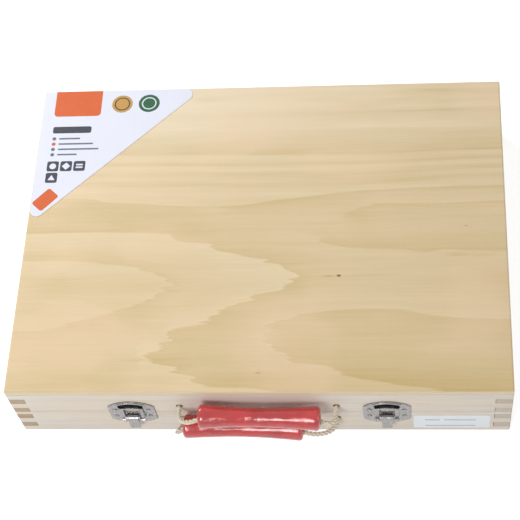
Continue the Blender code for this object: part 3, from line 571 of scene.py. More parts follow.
LID_FIGURE = (
    GrainLine(
        upper=((-150, -0.4), (-95, -0.4), (-64, -1.6), (-48, -7), (-36, -9), (-26, -14.5), (-6, -18.5),
               (10, -25), (22, -34), (34, -50), (70, -84), (150, -118)),
        lower=((-150, -118), (-74, -116), (-68, -88), (-57, -82), (-51, -71), (-34, -64.5), (-20, -56),
               (-6, -48.5), (10, -41), (22, -34), (34, -18), (150, 60)),
        floor=((-150, -40), (-80, -62), (-68, -87.5), (-60, -90), (-50, -94.5), (-42, -99), (-36, -103),
               (0, -108), (150, -119)),
        dark=8.5, pale=8.5, dark_reach=12.0, pale_reach=13.0,
    ),
    GrainLine(
        upper=((-150, -20.5), (-115, -21.5), (-90, -24), (-70, -28.4), (-57, -33.2), (-46, -44), (-10, -80),
               (150, -118)),
        lower=((-150, -69.6), (-130, -68.8), (-112, -63), (-94, -59), (-80, -53), (-66, -46.5), (-57, -40),
               (-46, -24), (0, 30), (150, 60)),
        dark=6.0, pale=4.0, dark_reach=7.5, pale_reach=9.0,
    ),
    GrainLine(
        upper=((-150, -118), (-22, -116), (4, -84), (7, -68), (20, -61.2), (36, -57), (54, -55.6), (70, -56),
               (80, -56.6), (100, -59.9), (120, -62), (150, -63.2)),
        lower=((-150, 60), (-22, 0), (4, -68), (7, -78), (20, -88.6), (40, -93.6), (60, -100.8), (75, -104),
               (100, -107.6), (120, -110.5), (150, -111)),
        dark=6.5, pale=5.0, dark_reach=6.0, pale_reach=9.0, turned=True,
    ),
    GrainLine(
        upper=((-150, -80), (6, -80), (20, -88.6), (40, -93.6), (60, -100.8), (75, -104), (100, -107.6),
               (120, -110.5), (150, -111)),
        dark=4.0, pale=0.0, dark_reach=14.0, from_x=18.0,
    ),
    GrainLine(
        upper=((-150, 20), (20, 0), (40, -9.6), (46, -12.4), (60, -14.2), (80, -15.2), (98, -17),
               (112, -15.4), (130, -16.3), (150, -17)),
        dark=8.5, pale=3.0, dark_reach=8.0, pale_reach=11.0, from_x=36.0,
    ),
    GrainLine(
        upper=((-150, 20), (40, 3), (56, 12), (64, 16.5), (75, 18), (110, 18), (150, 19)),
        dark=8.0, pale=4.0, dark_reach=3.6, pale_reach=7.0, turned=True, from_x=60.0,
    ),
    GrainLine(
        upper=((-150, 27), (-110, 25), (-100, 22.6), (-80, 21), (-50, 18.6), (-30, 18), (0, 20.4),
               (150, 29.8)),
        dark=6.5, pale=2.5, dark_reach=30.0, pale_reach=6.0, turned=True, to_x=-44.0,
    ),
    GrainLine(
        upper=((-150, 27), (-30, 18), (0, 20.4), (20, 23), (50, 26.6), (70, 28.2), (90, 29), (150, 30.6)),
        dark=13.0, pale=0.5, dark_reach=4.4, pale_reach=5.0, turned=True, from_x=-24.0,
    ),
)
LID_PATCHES = (
    TonePatch(-130.0, -38.0, 19.0, 6.5, 5.0),
    TonePatch(-137.0, -52.0, 10.0, 2.8, 3.0),
    TonePatch(-130.0, -99.0, 14.0, 6.5, 5.0),
    TonePatch(-104.0, -101.5, 13.0, 5.0, 4.5),
    TonePatch(-74.0, -80.0, 16.0, 7.0, -4.0),
    TonePatch(-120.0, -16.0, 34.0, 4.0, 3.0),
    TonePatch(4.0, -102.0, 20.0, 3.6, 5.0),
    TonePatch(4.0, -78.0, 7.0, 14.0, -4.5),
    TonePatch(24.0, -78.0, 11.0, 11.0, 3.5),
    TonePatch(140.0, -35.0, 12.0, 6.0, 4.5),
    TonePatch(80.0, -47.0, 40.0, 5.0, -3.0),
    TonePatch(114.0, 103.2, 18.0, 2.8, 6.0),
    TonePatch(112.0, 92.0, 8.0, 9.0, 3.0),
    TonePatch(-37.0, 100.6, 12.0, 1.9, 7.5),
    TonePatch(60.0, 10.0, 10.0, 5.0, 5.0),
    TonePatch(56.0, -6.0, 15.0, 7.0, 3.0),
    TonePatch(118.5, -18.8, 7.0, 1.5, 9.0),
    TonePatch(-20.0, 93.0, 55.0, 7.0, -3.0),
    TonePatch(-10.0, -30.0, 24.0, 8.0, -3.5),
    TonePatch(100.0, 88.0, 55.0, 0.9, 6.0),
    TonePatch(64.0, -32.9, 22.0, 0.9, 5.0),
    TonePatch(136.0, -20.0, 7.0, 1.2, 7.0),
    TonePatch(110.0, 103.0, 38.0, 9.0, 5.0),
    TonePatch(74.0, 38.2, 40.0, 2.8, 8.0),
    TonePatch(92.0, 54.6, 62.0, 3.2, 5.5),
    TonePatch(62.0, 92.6, 12.0, 2.2, 5.0),
)
LID_KNOTS = (
    TonePatch(48.0, -32.8, 1.05, 0.66, 1.6),
    TonePatch(41.4, -33.0, 3.4, 0.75, 0.26),
    TonePatch(125.6, 1.3, 0.9, 0.45, 0.42),
    TonePatch(1.5, -97.5, 1.6, 0.6, 0.35),
)
LID_BANDS = (
    (110.0, -4.0), (106.0, -7.0), (102.0, -4.0), (98.0, -5.5), (92.0, -3.5), (88.0, 1.0), (84.0, -2.5),
    (77.0, -6.0), (73.5, -1.0), (70.0, 2.0), (65.0, 4.0), (60.5, 6.5), (58.0, 8.0), (56.3, -2.5),
    (54.0, -4.5), (51.8, -1.0), (50.0, 6.0), (48.9, 6.0), (47.4, -2.0), (45.5, -3.5), (43.2, 1.0),
    (41.8, 4.5), (40.4, 3.5), (38.8, -2.0), (36.6, -1.5), (34.8, 3.5), (33.2, 5.0), (31.4, -0.5),
    (28.0, -3.0), (22.0, -2.5),
)
BASE_FIGURE = (
    GrainLine(
        upper=((-150, 118), (-90, 60), (-40, 26), (10, 10), (60, 4), (110, 1), (150, -1)),
        lower=((-150, -118), (-90, -60), (-58, -2), (-20, -18), (30, -34), (90, -42), (150, -46)),
        dark=8.0, pale=7.0, dark_reach=11.0, pale_reach=11.0,
    ),
    GrainLine(
        upper=((-150, 118), (-20, 60), (28, -10), (60, -8), (110, -10), (150, -12)),
        lower=((-150, -118), (0, -60), (26, -12), (60, -24), (110, -30), (150, -33)),
        dark=5.0, pale=4.0, dark_reach=6.0, pale_reach=8.0,
    ),
    GrainLine(
        upper=((-150, 10), (-60, 17), (30, 28), (150, 24)),
        dark=5.0, pale=4.0, dark_reach=7.0, pale_reach=5.0,
    ),
    GrainLine(
        upper=((-150, -62), (-60, -74), (30, -66), (150, -72)),
        dark=6.0, pale=4.0, dark_reach=9.0, pale_reach=6.0, turned=True,
    ),
)
BASE_PATCHES = (
    TonePatch(-96.0, -20.0, 26.0, 8.0, 5.0),
    TonePatch(90.0, -86.0, 40.0, 5.0, 4.0),
    TonePatch(-40.0, -98.0, 50.0, 3.0, 5.0),
)
BASE_KNOTS = (TonePatch(-88.0, 6.0, 2.0, 0.8, 1.3), TonePatch(98.0, -70.5, 1.0, 0.6, 0.8))
BASE_BANDS = (
    (110.0, 0.0), (100.0, 5.0), (97.0, -3.0), (86.0, 2.0), (80.0, -4.0), (70.0, 7.0), (67.0, -4.0),
    (58.0, 3.0), (52.0, -3.0), (45.0, 5.0), (42.0, -2.0), (34.0, 2.0), (22.0, -2.0),
)


@dataclass(frozen=True)
class Veneer:
    """Sanded veneer on plywood, with drawn flames and plies at its edges."""

    name: str
    figure: tuple[GrainLine, ...]
    patches: tuple[TonePatch, ...]
    knots: tuple[TonePatch, ...]
    bands: tuple[Point, ...]
    middle_height: float
    half_thickness: float = 2.0
    pale: Colour = from_screen(234, 216, 183)
    dark: Colour = from_screen(198, 172, 118)
    blush: Colour = from_screen(236, 206, 172)
    edge: Colour = from_screen(232, 218, 190)
    core: Colour = from_screen(196, 172, 132)
    knot: Colour = from_screen(120, 79, 46)
    # Painted light: a paler, less yellow patch towards the back left of the panel.
    painted_light: Colour = from_screen(238, 228, 206)
    painted_light_place: TonePatch = TonePatch(-60.0, 100.0, 90.0, 34.0, 0.32)
    low: Point = (-150.0, -120.0)
    high: Point = (150.0, 120.0)
    middle_tone: float = 0.49
    # Painted shade: how fast the veneer darkens towards the front.
    front_shade_slope: float = 0.055
    one_level: float = 0.0260
    streak_share: float = 0.44
    stripe_share: float = 0.24
    fleck_share: float = 0.14
    raggedness: float = 30.0
    bow: float = 3.0
    fade_in: tuple[float, float] = (-14.0, 10.0)
    fade_out: tuple[float, float] = (-10.0, 22.0)
    band_top: float = 110.0
    band_foot: float = 20.0
    band_depth: float = 10.0
    sag: tuple[Point, ...] = ((-150, 2.2), (-100, 1.4), (-50, 0.4), (0, -0.8), (40, -0.4), (80, 0.8),
                              (120, 3.0), (150, 4.0))
    dip: tuple[Point, ...] = ((-150, 0), (-60, -0.6), (-20, -0.3), (0, -1), (20, -1.7), (60, -2.7), (80, -3),
                              (100, -2.4), (150, -2.9))
    dip_height: float = 61.0
    dip_reach: float = 9.5
    relief: float = 0.00012

    def curve(self, sheet: NodeSheet, x: Wire, places: Sequence[Point]) -> Wire:
        """Reads a line of the figure at a place along the grain."""
        return sheet.curve(x, places, self.low, self.high)

    def ring_tone(self, sheet: NodeSheet, x: Wire, y: Wire, line: GrainLine) -> Wire:
        """Draws the tone beside one grain line.

        Args:
            sheet: Sheet to draw on.
            x: Place along the grain.
            y: Place across the grain.
            line: The grain line.

        Returns:
            The tone in screen levels, dark above zero.
        """
        away = y - self.curve(sheet, x, line.upper)
        if line.lower:
            under = self.curve(sheet, x, line.lower) - y
            if line.floor:
                under = under.least(y - self.curve(sheet, x, line.floor))
            away = away.most(under)
        if line.turned:
            away = -away
        tone = sheet.effect(RING_EDGE, Distance=away, Dark=line.dark, Pale=line.pale,
                            Dark_Reach=line.dark_reach, Pale_Reach=line.pale_reach)["Tone"]
        if line.from_x > self.low[0]:
            tone = tone * x.eased(line.from_x + self.fade_in[0], line.from_x + self.fade_in[1])
        if line.to_x < self.high[0]:
            tone = tone * x.eased(line.to_x + self.fade_out[0], line.to_x + self.fade_out[1], 1.0, 0.0)
        return tone

    def patch_sum(self, x: Wire, y: Wire, patches: Sequence[TonePatch]) -> Wire:
        """Adds soft round patches together.

        Args:
            x: Place along the grain.
            y: Place across the grain.
            patches: The patches, one or more.

        Returns:
            Their sum.
        """
        total: Optional[Wire] = None
        for patch in patches:
            dx = (x - patch.x) / patch.half_length
            dy = (y - patch.y) / patch.half_width
            near = (dx * dx + dy * dy).faded() * patch.depth
            total = near if total is None else total + near
        return total

    def band_tone(self, sheet: NodeSheet, x: Wire, y: Wire) -> Wire:
        """Draws the long bands across the back of the panel.

        Args:
            sheet: Sheet to draw on.
            x: Place along the grain.
            y: Place across the grain.

        Returns:
            The tone in screen levels, dark above zero.
        """
        sag = self.curve(sheet, x, self.sag) * y.eased(30.0, 82.0, 1.1, 0.0)
        off = (y - self.dip_height) / self.dip_reach
        level = y - sag - self.curve(sheet, x, self.dip) * (off * off).faded()
        span = self.band_top - self.band_foot
        stops = [((self.band_top - place) / span, 0.5 + depth / 2 / self.band_depth)
                 for place, depth in self.bands]
        rows = (sheet.ramp((-level + self.band_top) / span, stops) - 0.5) * (2 * self.band_depth)
        patchy = sheet.noise(sheet.joined(x / 55.0, y / 9.0, 0.0), 1.0, 2.0).eased(0.30, 0.70, 0.55, 1.45)
        return rows * patchy * y.eased(18.0, 26.0)

    def face_tone(self, sheet: NodeSheet, here: Wire) -> tuple[Wire, Wire]:
        """Draws the veneer's figure.

        Args:
            sheet: Sheet to draw on.
            here: Place in millimetres.

        Returns:
            The tone in screen levels, and the depth of its knots.
        """
        x, y, _ = sheet.split(here)
        ragged = sheet.noise(sheet.joined(x / 40.0, y / 3.4, 0.0), 1.0, 2.0, 0.5) - 0.5
        bowed = sheet.noise(sheet.joined(x / 46.0, y / 17.0, 3.0), 1.0, 2.0) - 0.5
        along = x + ragged * self.raggedness
        across = y + bowed * self.bow
        tone = self.band_tone(sheet, x, y + bowed * 1.6)
        for line in self.figure:
            tone = tone + self.ring_tone(sheet, along, across, line)
        tone = tone + self.patch_sum(x + ragged * 16.0, across, self.patches)
        return tone, self.patch_sum(x + ragged * 2.0, y, self.knots)

    def edge_colour(self, sheet: NodeSheet, here: Wire, streaks: Wire) -> Wire:
        """Colours the panel's edges: two outer plies, dark glue lines and a cut core.

        Args:
            sheet: Sheet to draw on.
            here: Place in millimetres.
            streaks: Fine streaks of the grain.

        Returns:
            The colour.
        """
        rise = (sheet.split(here)[2] - self.middle_height) / self.half_thickness
        side = sheet.effect(CUT_END, Vector=here, Ring_Width=1.1)
        core = sheet.mix(side["Pores"] * 0.6 + side["Rings"] * 0.2, self.edge, self.core)
        skin = sheet.mix((streaks - 0.25).clipped(), self.edge, self.dark)
        edge = sheet.mix(rise.size().eased(0.50, 0.62) * 0.75 + 0.1, core, skin)
        glue = (rise.size() - 0.56).size().eased(0.10, 0.0, 0.0, 0.35)
        return sheet.mix(glue, edge, self.core, "MULTIPLY")

    def build(self) -> bpy.types.Material:
        """Builds the veneer's material.

        Returns:
            The material.
        """
        shader = Shader(self.name)
        sheet = shader.sheet
        here = sheet.place()
        x, y, z = sheet.split(here)
        figure, marks = self.face_tone(sheet, here)
        grain = sheet.effect(TIMBER_GRAIN, Vector=here, Band_Width=7.0, Wander=0.8)
        fleck = sheet.noise(sheet.joined(x / 2.6, y / 0.5, z / 0.5), 1.0, 2.0, 0.6)
        # Painted shade: the tone rises towards the front, so the face darkens there.
        tone = (figure - y * self.front_shade_slope) * self.one_level + self.middle_tone
        tone = tone + (grain["Streaks"] - 0.5) * self.streak_share
        tone = tone + (grain["Bands"] - 0.5) * self.stripe_share
        tone = tone + (fleck - 0.5) * self.fleck_share
        face = sheet.mix(tone.clipped(), self.pale, self.dark)
        warm = sheet.noise(sheet.joined(x / 75.0, y / 42.0, z / 40.0), 1.0, 2.0).eased(0.42, 0.66, 0.0, 0.36)
        face = sheet.mix(warm, face, self.blush)
        # Painted light: the face turns paler towards the back left.
        face = sheet.mix(self.patch_sum(x, y, (self.painted_light_place,)), face, self.painted_light)
        face = sheet.mix(marks.clipped(), face, self.knot)
        face = sheet.mix(grain["Pores"] * 0.16, face, self.dark, "MULTIPLY")
        flat = sheet.split(sheet.facing())[2].size().eased(0.55, 0.80)
        soft = sheet.effect(SOFT_EDGE, Radius=0.0005, Chafe=0.5)
        colour = sheet.mix(flat, self.edge_colour(sheet, here, grain["Streaks"]), face)
        colour = sheet.mix(soft["Wear"] * 0.5, colour, self.edge)
        rough = (grain["Streaks"] * 0.18 + tone.clipped() * 0.08 + 0.40).clipped()
        height = grain["Streaks"] * 0.5 - grain["Pores"] * 0.5 - marks.clipped() * 0.4 + tone * 0.25
        shader.give(Base_Color=colour, Roughness=rough, Specular_IOR_Level=0.5)
        shader.give(Normal=sheet.bump(height, 0.55, self.relief, soft["Normal"]))
        return shader.material


class GrainRun(Enum):
    """Which way a board's grain runs."""

    ALONG_FRONT = "along_front"
    ALONG_SIDE = "along_side"


@dataclass(frozen=True)
class BoardTimber:
    """Pale planed softwood with end grain where the fingers are cut."""

    name: str
    run: GrainRun
    pale: Colour = from_screen(235, 228, 218)
    dark: Colour = from_screen(206, 193, 177)
    blush: Colour = from_screen(232, 214, 186)
    end_pale: Colour = from_screen(200, 176, 144)
    end_grey: Colour = from_screen(168, 157, 134)
    end_dark: Colour = from_screen(139, 111, 76)
    # Painted shade laid on the walls of the latch pockets.
    hollow_shade: Colour = from_screen(34, 29, 26)
    middle_tone: float = 0.36
    stripe_share: float = 1.15
    streak_share: float = 0.8
    window_half: float = 7.9
    window_low: float = 33.4
    window_high: float = 41.7
    window_bow: float = 0.036
    pocket_front: float = -110.1
    pocket_back: float = -106.0
    relief: float = 0.00012

    def pocket_shade_mask(self, sheet: NodeSheet, here: Wire) -> Wire:
        """Marks the two deep pockets behind the latch windows, where shade is painted on their walls.

        Args:
            sheet: Sheet to draw on.
            here: Place in millimetres.

        Returns:
            One inside the pockets.
        """
        x, y, z = sheet.split(here)
        aside = (x.size() - LATCH_PLACE / MM).size()
        under_arch = (z + aside * aside * self.window_bow).below(self.window_high)
        deep = y.above(self.pocket_front) * y.below(self.pocket_back)
        return aside.below(self.window_half) * deep * z.above(self.window_low) * under_arch

    def end_colour(self, sheet: NodeSheet, here: Wire, cut: dict[str, Wire]) -> Wire:
        """Colours the finger ends, each a little darker or greyer than the next.

        Args:
            sheet: Sheet to draw on.
            here: Place in millimetres.
            cut: Rings and pores of the end grain.

        Returns:
            The colour.
        """
        x, y, z = sheet.split(here)
        each = sheet.noise(sheet.joined(x / 60.0, y / 60.0, z / 5.5), 1.0, 1.0).eased(0.36, 0.64, -0.12, 0.30)
        tone = (cut["Rings"] * 0.40 + cut["Pores"] * 0.42 + each).clipped()
        ashen = sheet.noise(sheet.joined(x / 70.0, y / 50.0, z / 8.0 + 4.0), 1.0, 0.0)
        return sheet.mix(ashen.eased(0.46, 0.62, 0.0, 0.6), sheet.mix(tone, self.end_pale, self.end_dark),
                         self.end_grey)

    def build(self) -> bpy.types.Material:
        """Builds the board's material.

        Returns:
            The material.
        """
        shader = Shader(self.name)
        sheet = shader.sheet
        here = sheet.place()
        x, y, z = sheet.split(here)
        facing = sheet.split(sheet.facing())
        along_front = self.run is GrainRun.ALONG_FRONT
        turned = sheet.joined(x, y, z * 0.9) if along_front else sheet.joined(y, x, z * 0.9)
        grain = sheet.effect(TIMBER_GRAIN, Vector=turned, Band_Width=5.5, Wander=0.7)
        tone = (grain["Bands"] - 0.5) * self.stripe_share + (grain["Streaks"] - 0.5) * self.streak_share
        face = sheet.mix((tone + self.middle_tone).clipped(), self.pale, self.dark)
        face = sheet.mix(grain["Pores"] * 0.22, face, self.end_pale, "MULTIPLY")
        warm = sheet.noise(sheet.stretched(here, (0.016, 0.016, 0.05)), 1.0, 2.0).eased(0.40, 0.64, 0.0, 0.30)
        face = sheet.mix(warm, face, self.blush)
        cut = sheet.effect(CUT_END, Vector=here, Ring_Width=1.5)
        ends = facing[0 if along_front else 1].size().eased(0.62, 0.82)
        soft = sheet.effect(SOFT_EDGE, Radius=0.0005, Chafe=0.6)
        colour = sheet.mix(ends, face, self.end_colour(sheet, here, cut))
        colour = sheet.mix(soft["Wear"] * 0.35, colour, self.pale)
        if along_front:
            # Painted shade: the walls of the latch pockets take a near-black colour.
            colour = sheet.mix(self.pocket_shade_mask(sheet, here), colour, self.hollow_shade)
        rough = grain["Streaks"] * 0.2 + ends * 0.15 + 0.42
        height = grain["Streaks"] * 0.5 - grain["Pores"] * 0.6 - cut["Pores"] * ends * 0.8
        shader.give(Base_Color=colour, Roughness=rough.clipped(), Specular_IOR_Level=0.45)
        shader.give(Normal=sheet.bump(height, 0.6, self.relief, soft["Normal"]))
        return shader.material


@dataclass(frozen=True)
class NickelPlate:
    """Bright plating on thin pressed steel: slight waves, smudges and worn edges."""

    name: str = "nickel_plate"
    bright: Colour = (0.345, 0.336, 0.334)
    dull: Colour = (0.238, 0.230, 0.230)
    worn: Colour = (0.54, 0.53, 0.52)
    roughness: float = 0.20
    wave: float = 0.00030
    scratch_depth: float = 0.00003

    def build(self) -> bpy.types.Material:
        """Builds the plating's material.

        Returns:
            The material.
        """
        shader = Shader(self.name)
        sheet = shader.sheet
        here = sheet.place()
        marks = sheet.effect(HANDLING_MARKS, Vector=here, Size=0.5)
        soft = sheet.effect(SOFT_EDGE, Radius=0.00028, Chafe=1.0)
        cloud = sheet.noise(here, 0.45, 3.0, 0.6).eased(0.34, 0.70)
        colour = sheet.mix((cloud * 0.6 + marks["Speck"] * 0.6).clipped(), self.bright, self.dull)
        colour = sheet.mix(soft["Wear"] * 0.6, colour, self.worn)
        rough = marks["Smudge"] * 0.16 + marks["Scratch"] * 0.12 + soft["Wear"] * 0.08 + self.roughness
        wavy = sheet.bump(sheet.noise(here, 0.30, 1.5, 0.5), 1.0, self.wave, soft["Normal"])
        fine = marks["Scratch"] * -0.6 + sheet.noise(here, 5.0, 2.0) * 0.25 - marks["Speck"] * 0.5
        shader.give(Base_Color=colour, Roughness=rough.clipped(), Metallic=1.0)
        shader.give(Normal=sheet.bump(fine, 0.5, self.scratch_depth, wavy))
        return shader.material


@dataclass(frozen=True)
class RedLacquer:
    """Thick red gloss on turned beech, pooled a little and rubbed thin at the end rims."""

    name: str = "red_lacquer"
    body: Colour = from_screen(198, 32, 32)
    deep: Colour = from_screen(156, 20, 26)
    thin: Colour = from_screen(214, 84, 70)
    roughness: float = 0.16
    run_depth: float = 0.0013
    peel_depth: float = 0.00016

    def build(self) -> bpy.types.Material:
        """Builds the lacquer's material.

        Returns:
            The material.
        """
        shader = Shader(self.name)
        sheet = shader.sheet
        here = sheet.place()
        x, y, z = sheet.split(here)
        grain = sheet.effect(TIMBER_GRAIN, Vector=here, Band_Width=3.5, Wander=0.5)
        marks = sheet.effect(HANDLING_MARKS, Vector=here, Size=1.0)
        pooled = sheet.noise(sheet.joined(x / 16.0, y / 5.0, z / 5.0), 1.0, 2.0).eased(0.35, 0.70)
        colour = sheet.mix(pooled * 0.55, self.body, self.deep)
        colour = sheet.mix((grain["Streaks"] - 0.42).clipped() * 0.5, colour, self.deep)
        soft = sheet.effect(SOFT_EDGE, Radius=0.0007, Chafe=0.8)
        colour = sheet.mix((soft["Wear"] * 0.5 + marks["Speck"] * 0.5).clipped(), colour, self.thin)
        rough = marks["Smudge"] * 0.10 + marks["Scratch"] * 0.12 + self.roughness
        coat = 1.0 - marks["Smudge"] * 0.2
        run = sheet.noise(sheet.joined(x * 0.11, y * 0.16, z * 0.16), 1.0, 1.5)
        peel = sheet.noise(here, 0.55, 2.0) * 0.7 + sheet.noise(here, 2.2, 1.0) * 0.12
        peel = peel + grain["Streaks"] * 0.10 - marks["Scratch"] * 0.2
        shader.give(Base_Color=colour, Roughness=rough.clipped(), Specular_IOR_Level=0.5)
        shader.give(Coat_Weight=coat.clipped(), Coat_Roughness=0.05, Coat_IOR=1.5)
        run_normal = sheet.bump(run, 1.0, self.run_depth, soft["Normal"])
        shader.give(Normal=sheet.bump(peel, 0.5, self.peel_depth, run_normal))
        return shader.material


@dataclass(frozen=True)
class CottonRope:
    """Undyed cotton: plied yarns that run round each strand, with fuzz and dust in the lay, and painted shade
    in the grooves between them.
    """

    name: str = "cotton_rope_lay"
    pale: Colour = from_screen(247, 239, 220)
    shade: Colour = from_screen(218, 204, 176)
    yarns: float = 5.0
    yarn_pitch: float = 2.4
    relief: float = 0.00022

    def build(self) -> bpy.types.Material:
        """Builds the rope's material.

        Returns:
            The material.
        """
        shader = Shader(self.name)
        sheet = shader.sheet
        length, turn, _ = sheet.split(sheet.placed("ShaderNodeUVMap", {}, uv_map=RopeStrands.LAY_MAP))
        here = sheet.place()
        phase = turn * self.yarns + length / self.yarn_pitch + (sheet.noise(here, 0.8, 2.0) - 0.5) * 0.5
        ridge = (sheet.math("SINE", phase * math.tau) + 1.0) * 0.5
        fibre = sheet.noise(sheet.joined(phase * 5.0, length * 0.9, turn * 3.0), 1.0, 3.0, 0.7)
        fuzz = sheet.noise(here, 4.0, 3.0, 0.7)
        dirt = sheet.noise(here, 0.12, 2.0).eased(0.42, 0.72)
        # Painted shade in the grooves between yarns, with fibre tone and real dust mixed in.
        hollow_shade = (1.0 - ridge) * 0.42 + (fibre - 0.4) * 0.4 + dirt * 0.16
        colour = sheet.mix(hollow_shade.clipped(), self.pale, self.shade)
        height = ridge * 0.7 + fibre * 0.35 + fuzz * 0.3
        shader.give(Base_Color=colour, Roughness=(fuzz * 0.15 + 0.80).clipped(), Specular_IOR_Level=0.2)
        shader.give(Sheen_Weight=0.35, Sheen_Roughness=0.5)
        shader.give(Normal=sheet.bump(height, 0.9, self.relief))
        return shader.material


@dataclass(frozen=True)
class PrintedCard:
    """Coated label paper, bare or under a print colour, with faint fibres and slight cockling."""

    name: str
    ink: Optional[Colour] = None
    bare: Colour = from_screen(228, 231, 243)
    fibre: Colour = from_screen(196, 201, 213)
    roughness: float = 0.50
    cockle_depth: float = 0.0012

    def build(self) -> bpy.types.Material:
        """Builds the paper's material.

        Returns:
            The material.
        """
        shader = Shader(self.name)
        sheet = shader.sheet
        here = sheet.place()
        fibre = sheet.noise(here, 2.6, 4.0, 0.7)
        if self.ink is None:
            colour = sheet.mix((fibre - 0.4).clipped() * 0.25, self.bare, self.fibre)
        else:
            screen = sheet.noise(here, 9.0, 1.0).eased(0.60, 0.74)
            colour = sheet.mix((fibre - 0.45).clipped() * 0.22 + screen * 0.05, self.ink, self.bare)
        soft = sheet.effect(SOFT_EDGE, Radius=0.0001, Chafe=0.6)
        height = sheet.noise(here, 0.05, 2.0) + fibre * 0.01
        rough = (fibre * 0.14 + self.roughness).clipped()
        shader.give(Base_Color=colour, Roughness=rough, Specular_IOR_Level=0.3)
        shader.give(Normal=sheet.bump(height, 0.7, self.cockle_depth, soft["Normal"]))
        return shader.material


def link_mesh(name: str, shape: bmesh.types.BMesh, finish: bpy.types.Material) -> bpy.types.Object:
    """Turns a shape into an object of the scene.

    Args:
        name: Name of the object.
        shape: Its shape, in the frame of the solids; it is freed.
        finish: Its material.

    Returns:
        The object.
    """
    mesh = bpy.data.meshes.new(name)
    shape.to_mesh(mesh)
    shape.free()
    mesh.materials.append(finish)
    made = bpy.data.objects.new(name, mesh)
    bpy.context.scene.collection.objects.link(made)
    return made


def new_piece(name: str, shape: bmesh.types.BMesh, finish: bpy.types.Material, body: str,
              smooth: bool = True) -> bpy.types.Object:
    """Turns a shape into a piece that rides on a body.

    Args:
        name: Name of the piece.
        shape: Its shape, in the frame of the solids; it is freed.
        finish: Its material.
        body: Body that carries it.
        smooth: Whether its faces are shaded smooth.

    Returns:
        The piece.
    """
    bmesh.ops.recalc_face_normals(shape, faces=shape.faces)
    piece = link_mesh(name, shape, finish)
    piece.data.polygons.foreach_set("use_smooth", [smooth] * len(piece.data.polygons))
    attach(piece, body)
    return piece


def dress(nodes: Iterable[str], finish: bpy.types.Material) -> list[bpy.types.Object]:
    """Gives solids that keep their shape a finish.

    Args:
        nodes: Names of the solids.
        finish: Their material.

    Returns:
        The solids.
    """
    solids = [frame["nodes"][name] for name in nodes]
    for solid in solids:
        for holder in solid.material_slots:
            holder.material = finish
    return solids


def resample(points: Sequence[Vector], step: float, refine: int = 8) -> list[Vector]:
    """Spaces points evenly along a smooth line through the ones given.

    Args:
        points: Points of the line.
        step: Wanted distance between points.
        refine: Steps that measure each stretch between two of the points.

    Returns:
        The evenly spaced points, ends included.
    """
    fine: list[Vector] = []
    count = len(points)
    for i in range(count - 1):
        before = points[max(i - 1, 0)]
        here, there = points[i], points[i + 1]
        after = points[min(i + 2, count - 1)]
        for k in range(refine):
            t = k / refine
            fine.append(0.5 * (2 * here + (there - before) * t
                               + (2 * before - 5 * here + 4 * there - after) * t ** 2
                               + (3 * here - before - 3 * there + after) * t ** 3))
    fine.append(points[-1].copy())
    lengths = [0.0]
    for first, second in zip(fine, fine[1:]):
        lengths.append(lengths[-1] + (second - first).length)
    pieces = max(2, round(lengths[-1] / step))
    even, spot = [], 0
    for i in range(pieces + 1):
        wanted = lengths[-1] * i / pieces
        while spot < len(fine) - 2 and lengths[spot + 1] < wanted:
            spot += 1
        gap = max(lengths[spot + 1] - lengths[spot], 1e-9)
        even.append(fine[spot].lerp(fine[spot + 1], min(max((wanted - lengths[spot]) / gap, 0.0), 1.0)))
    return even


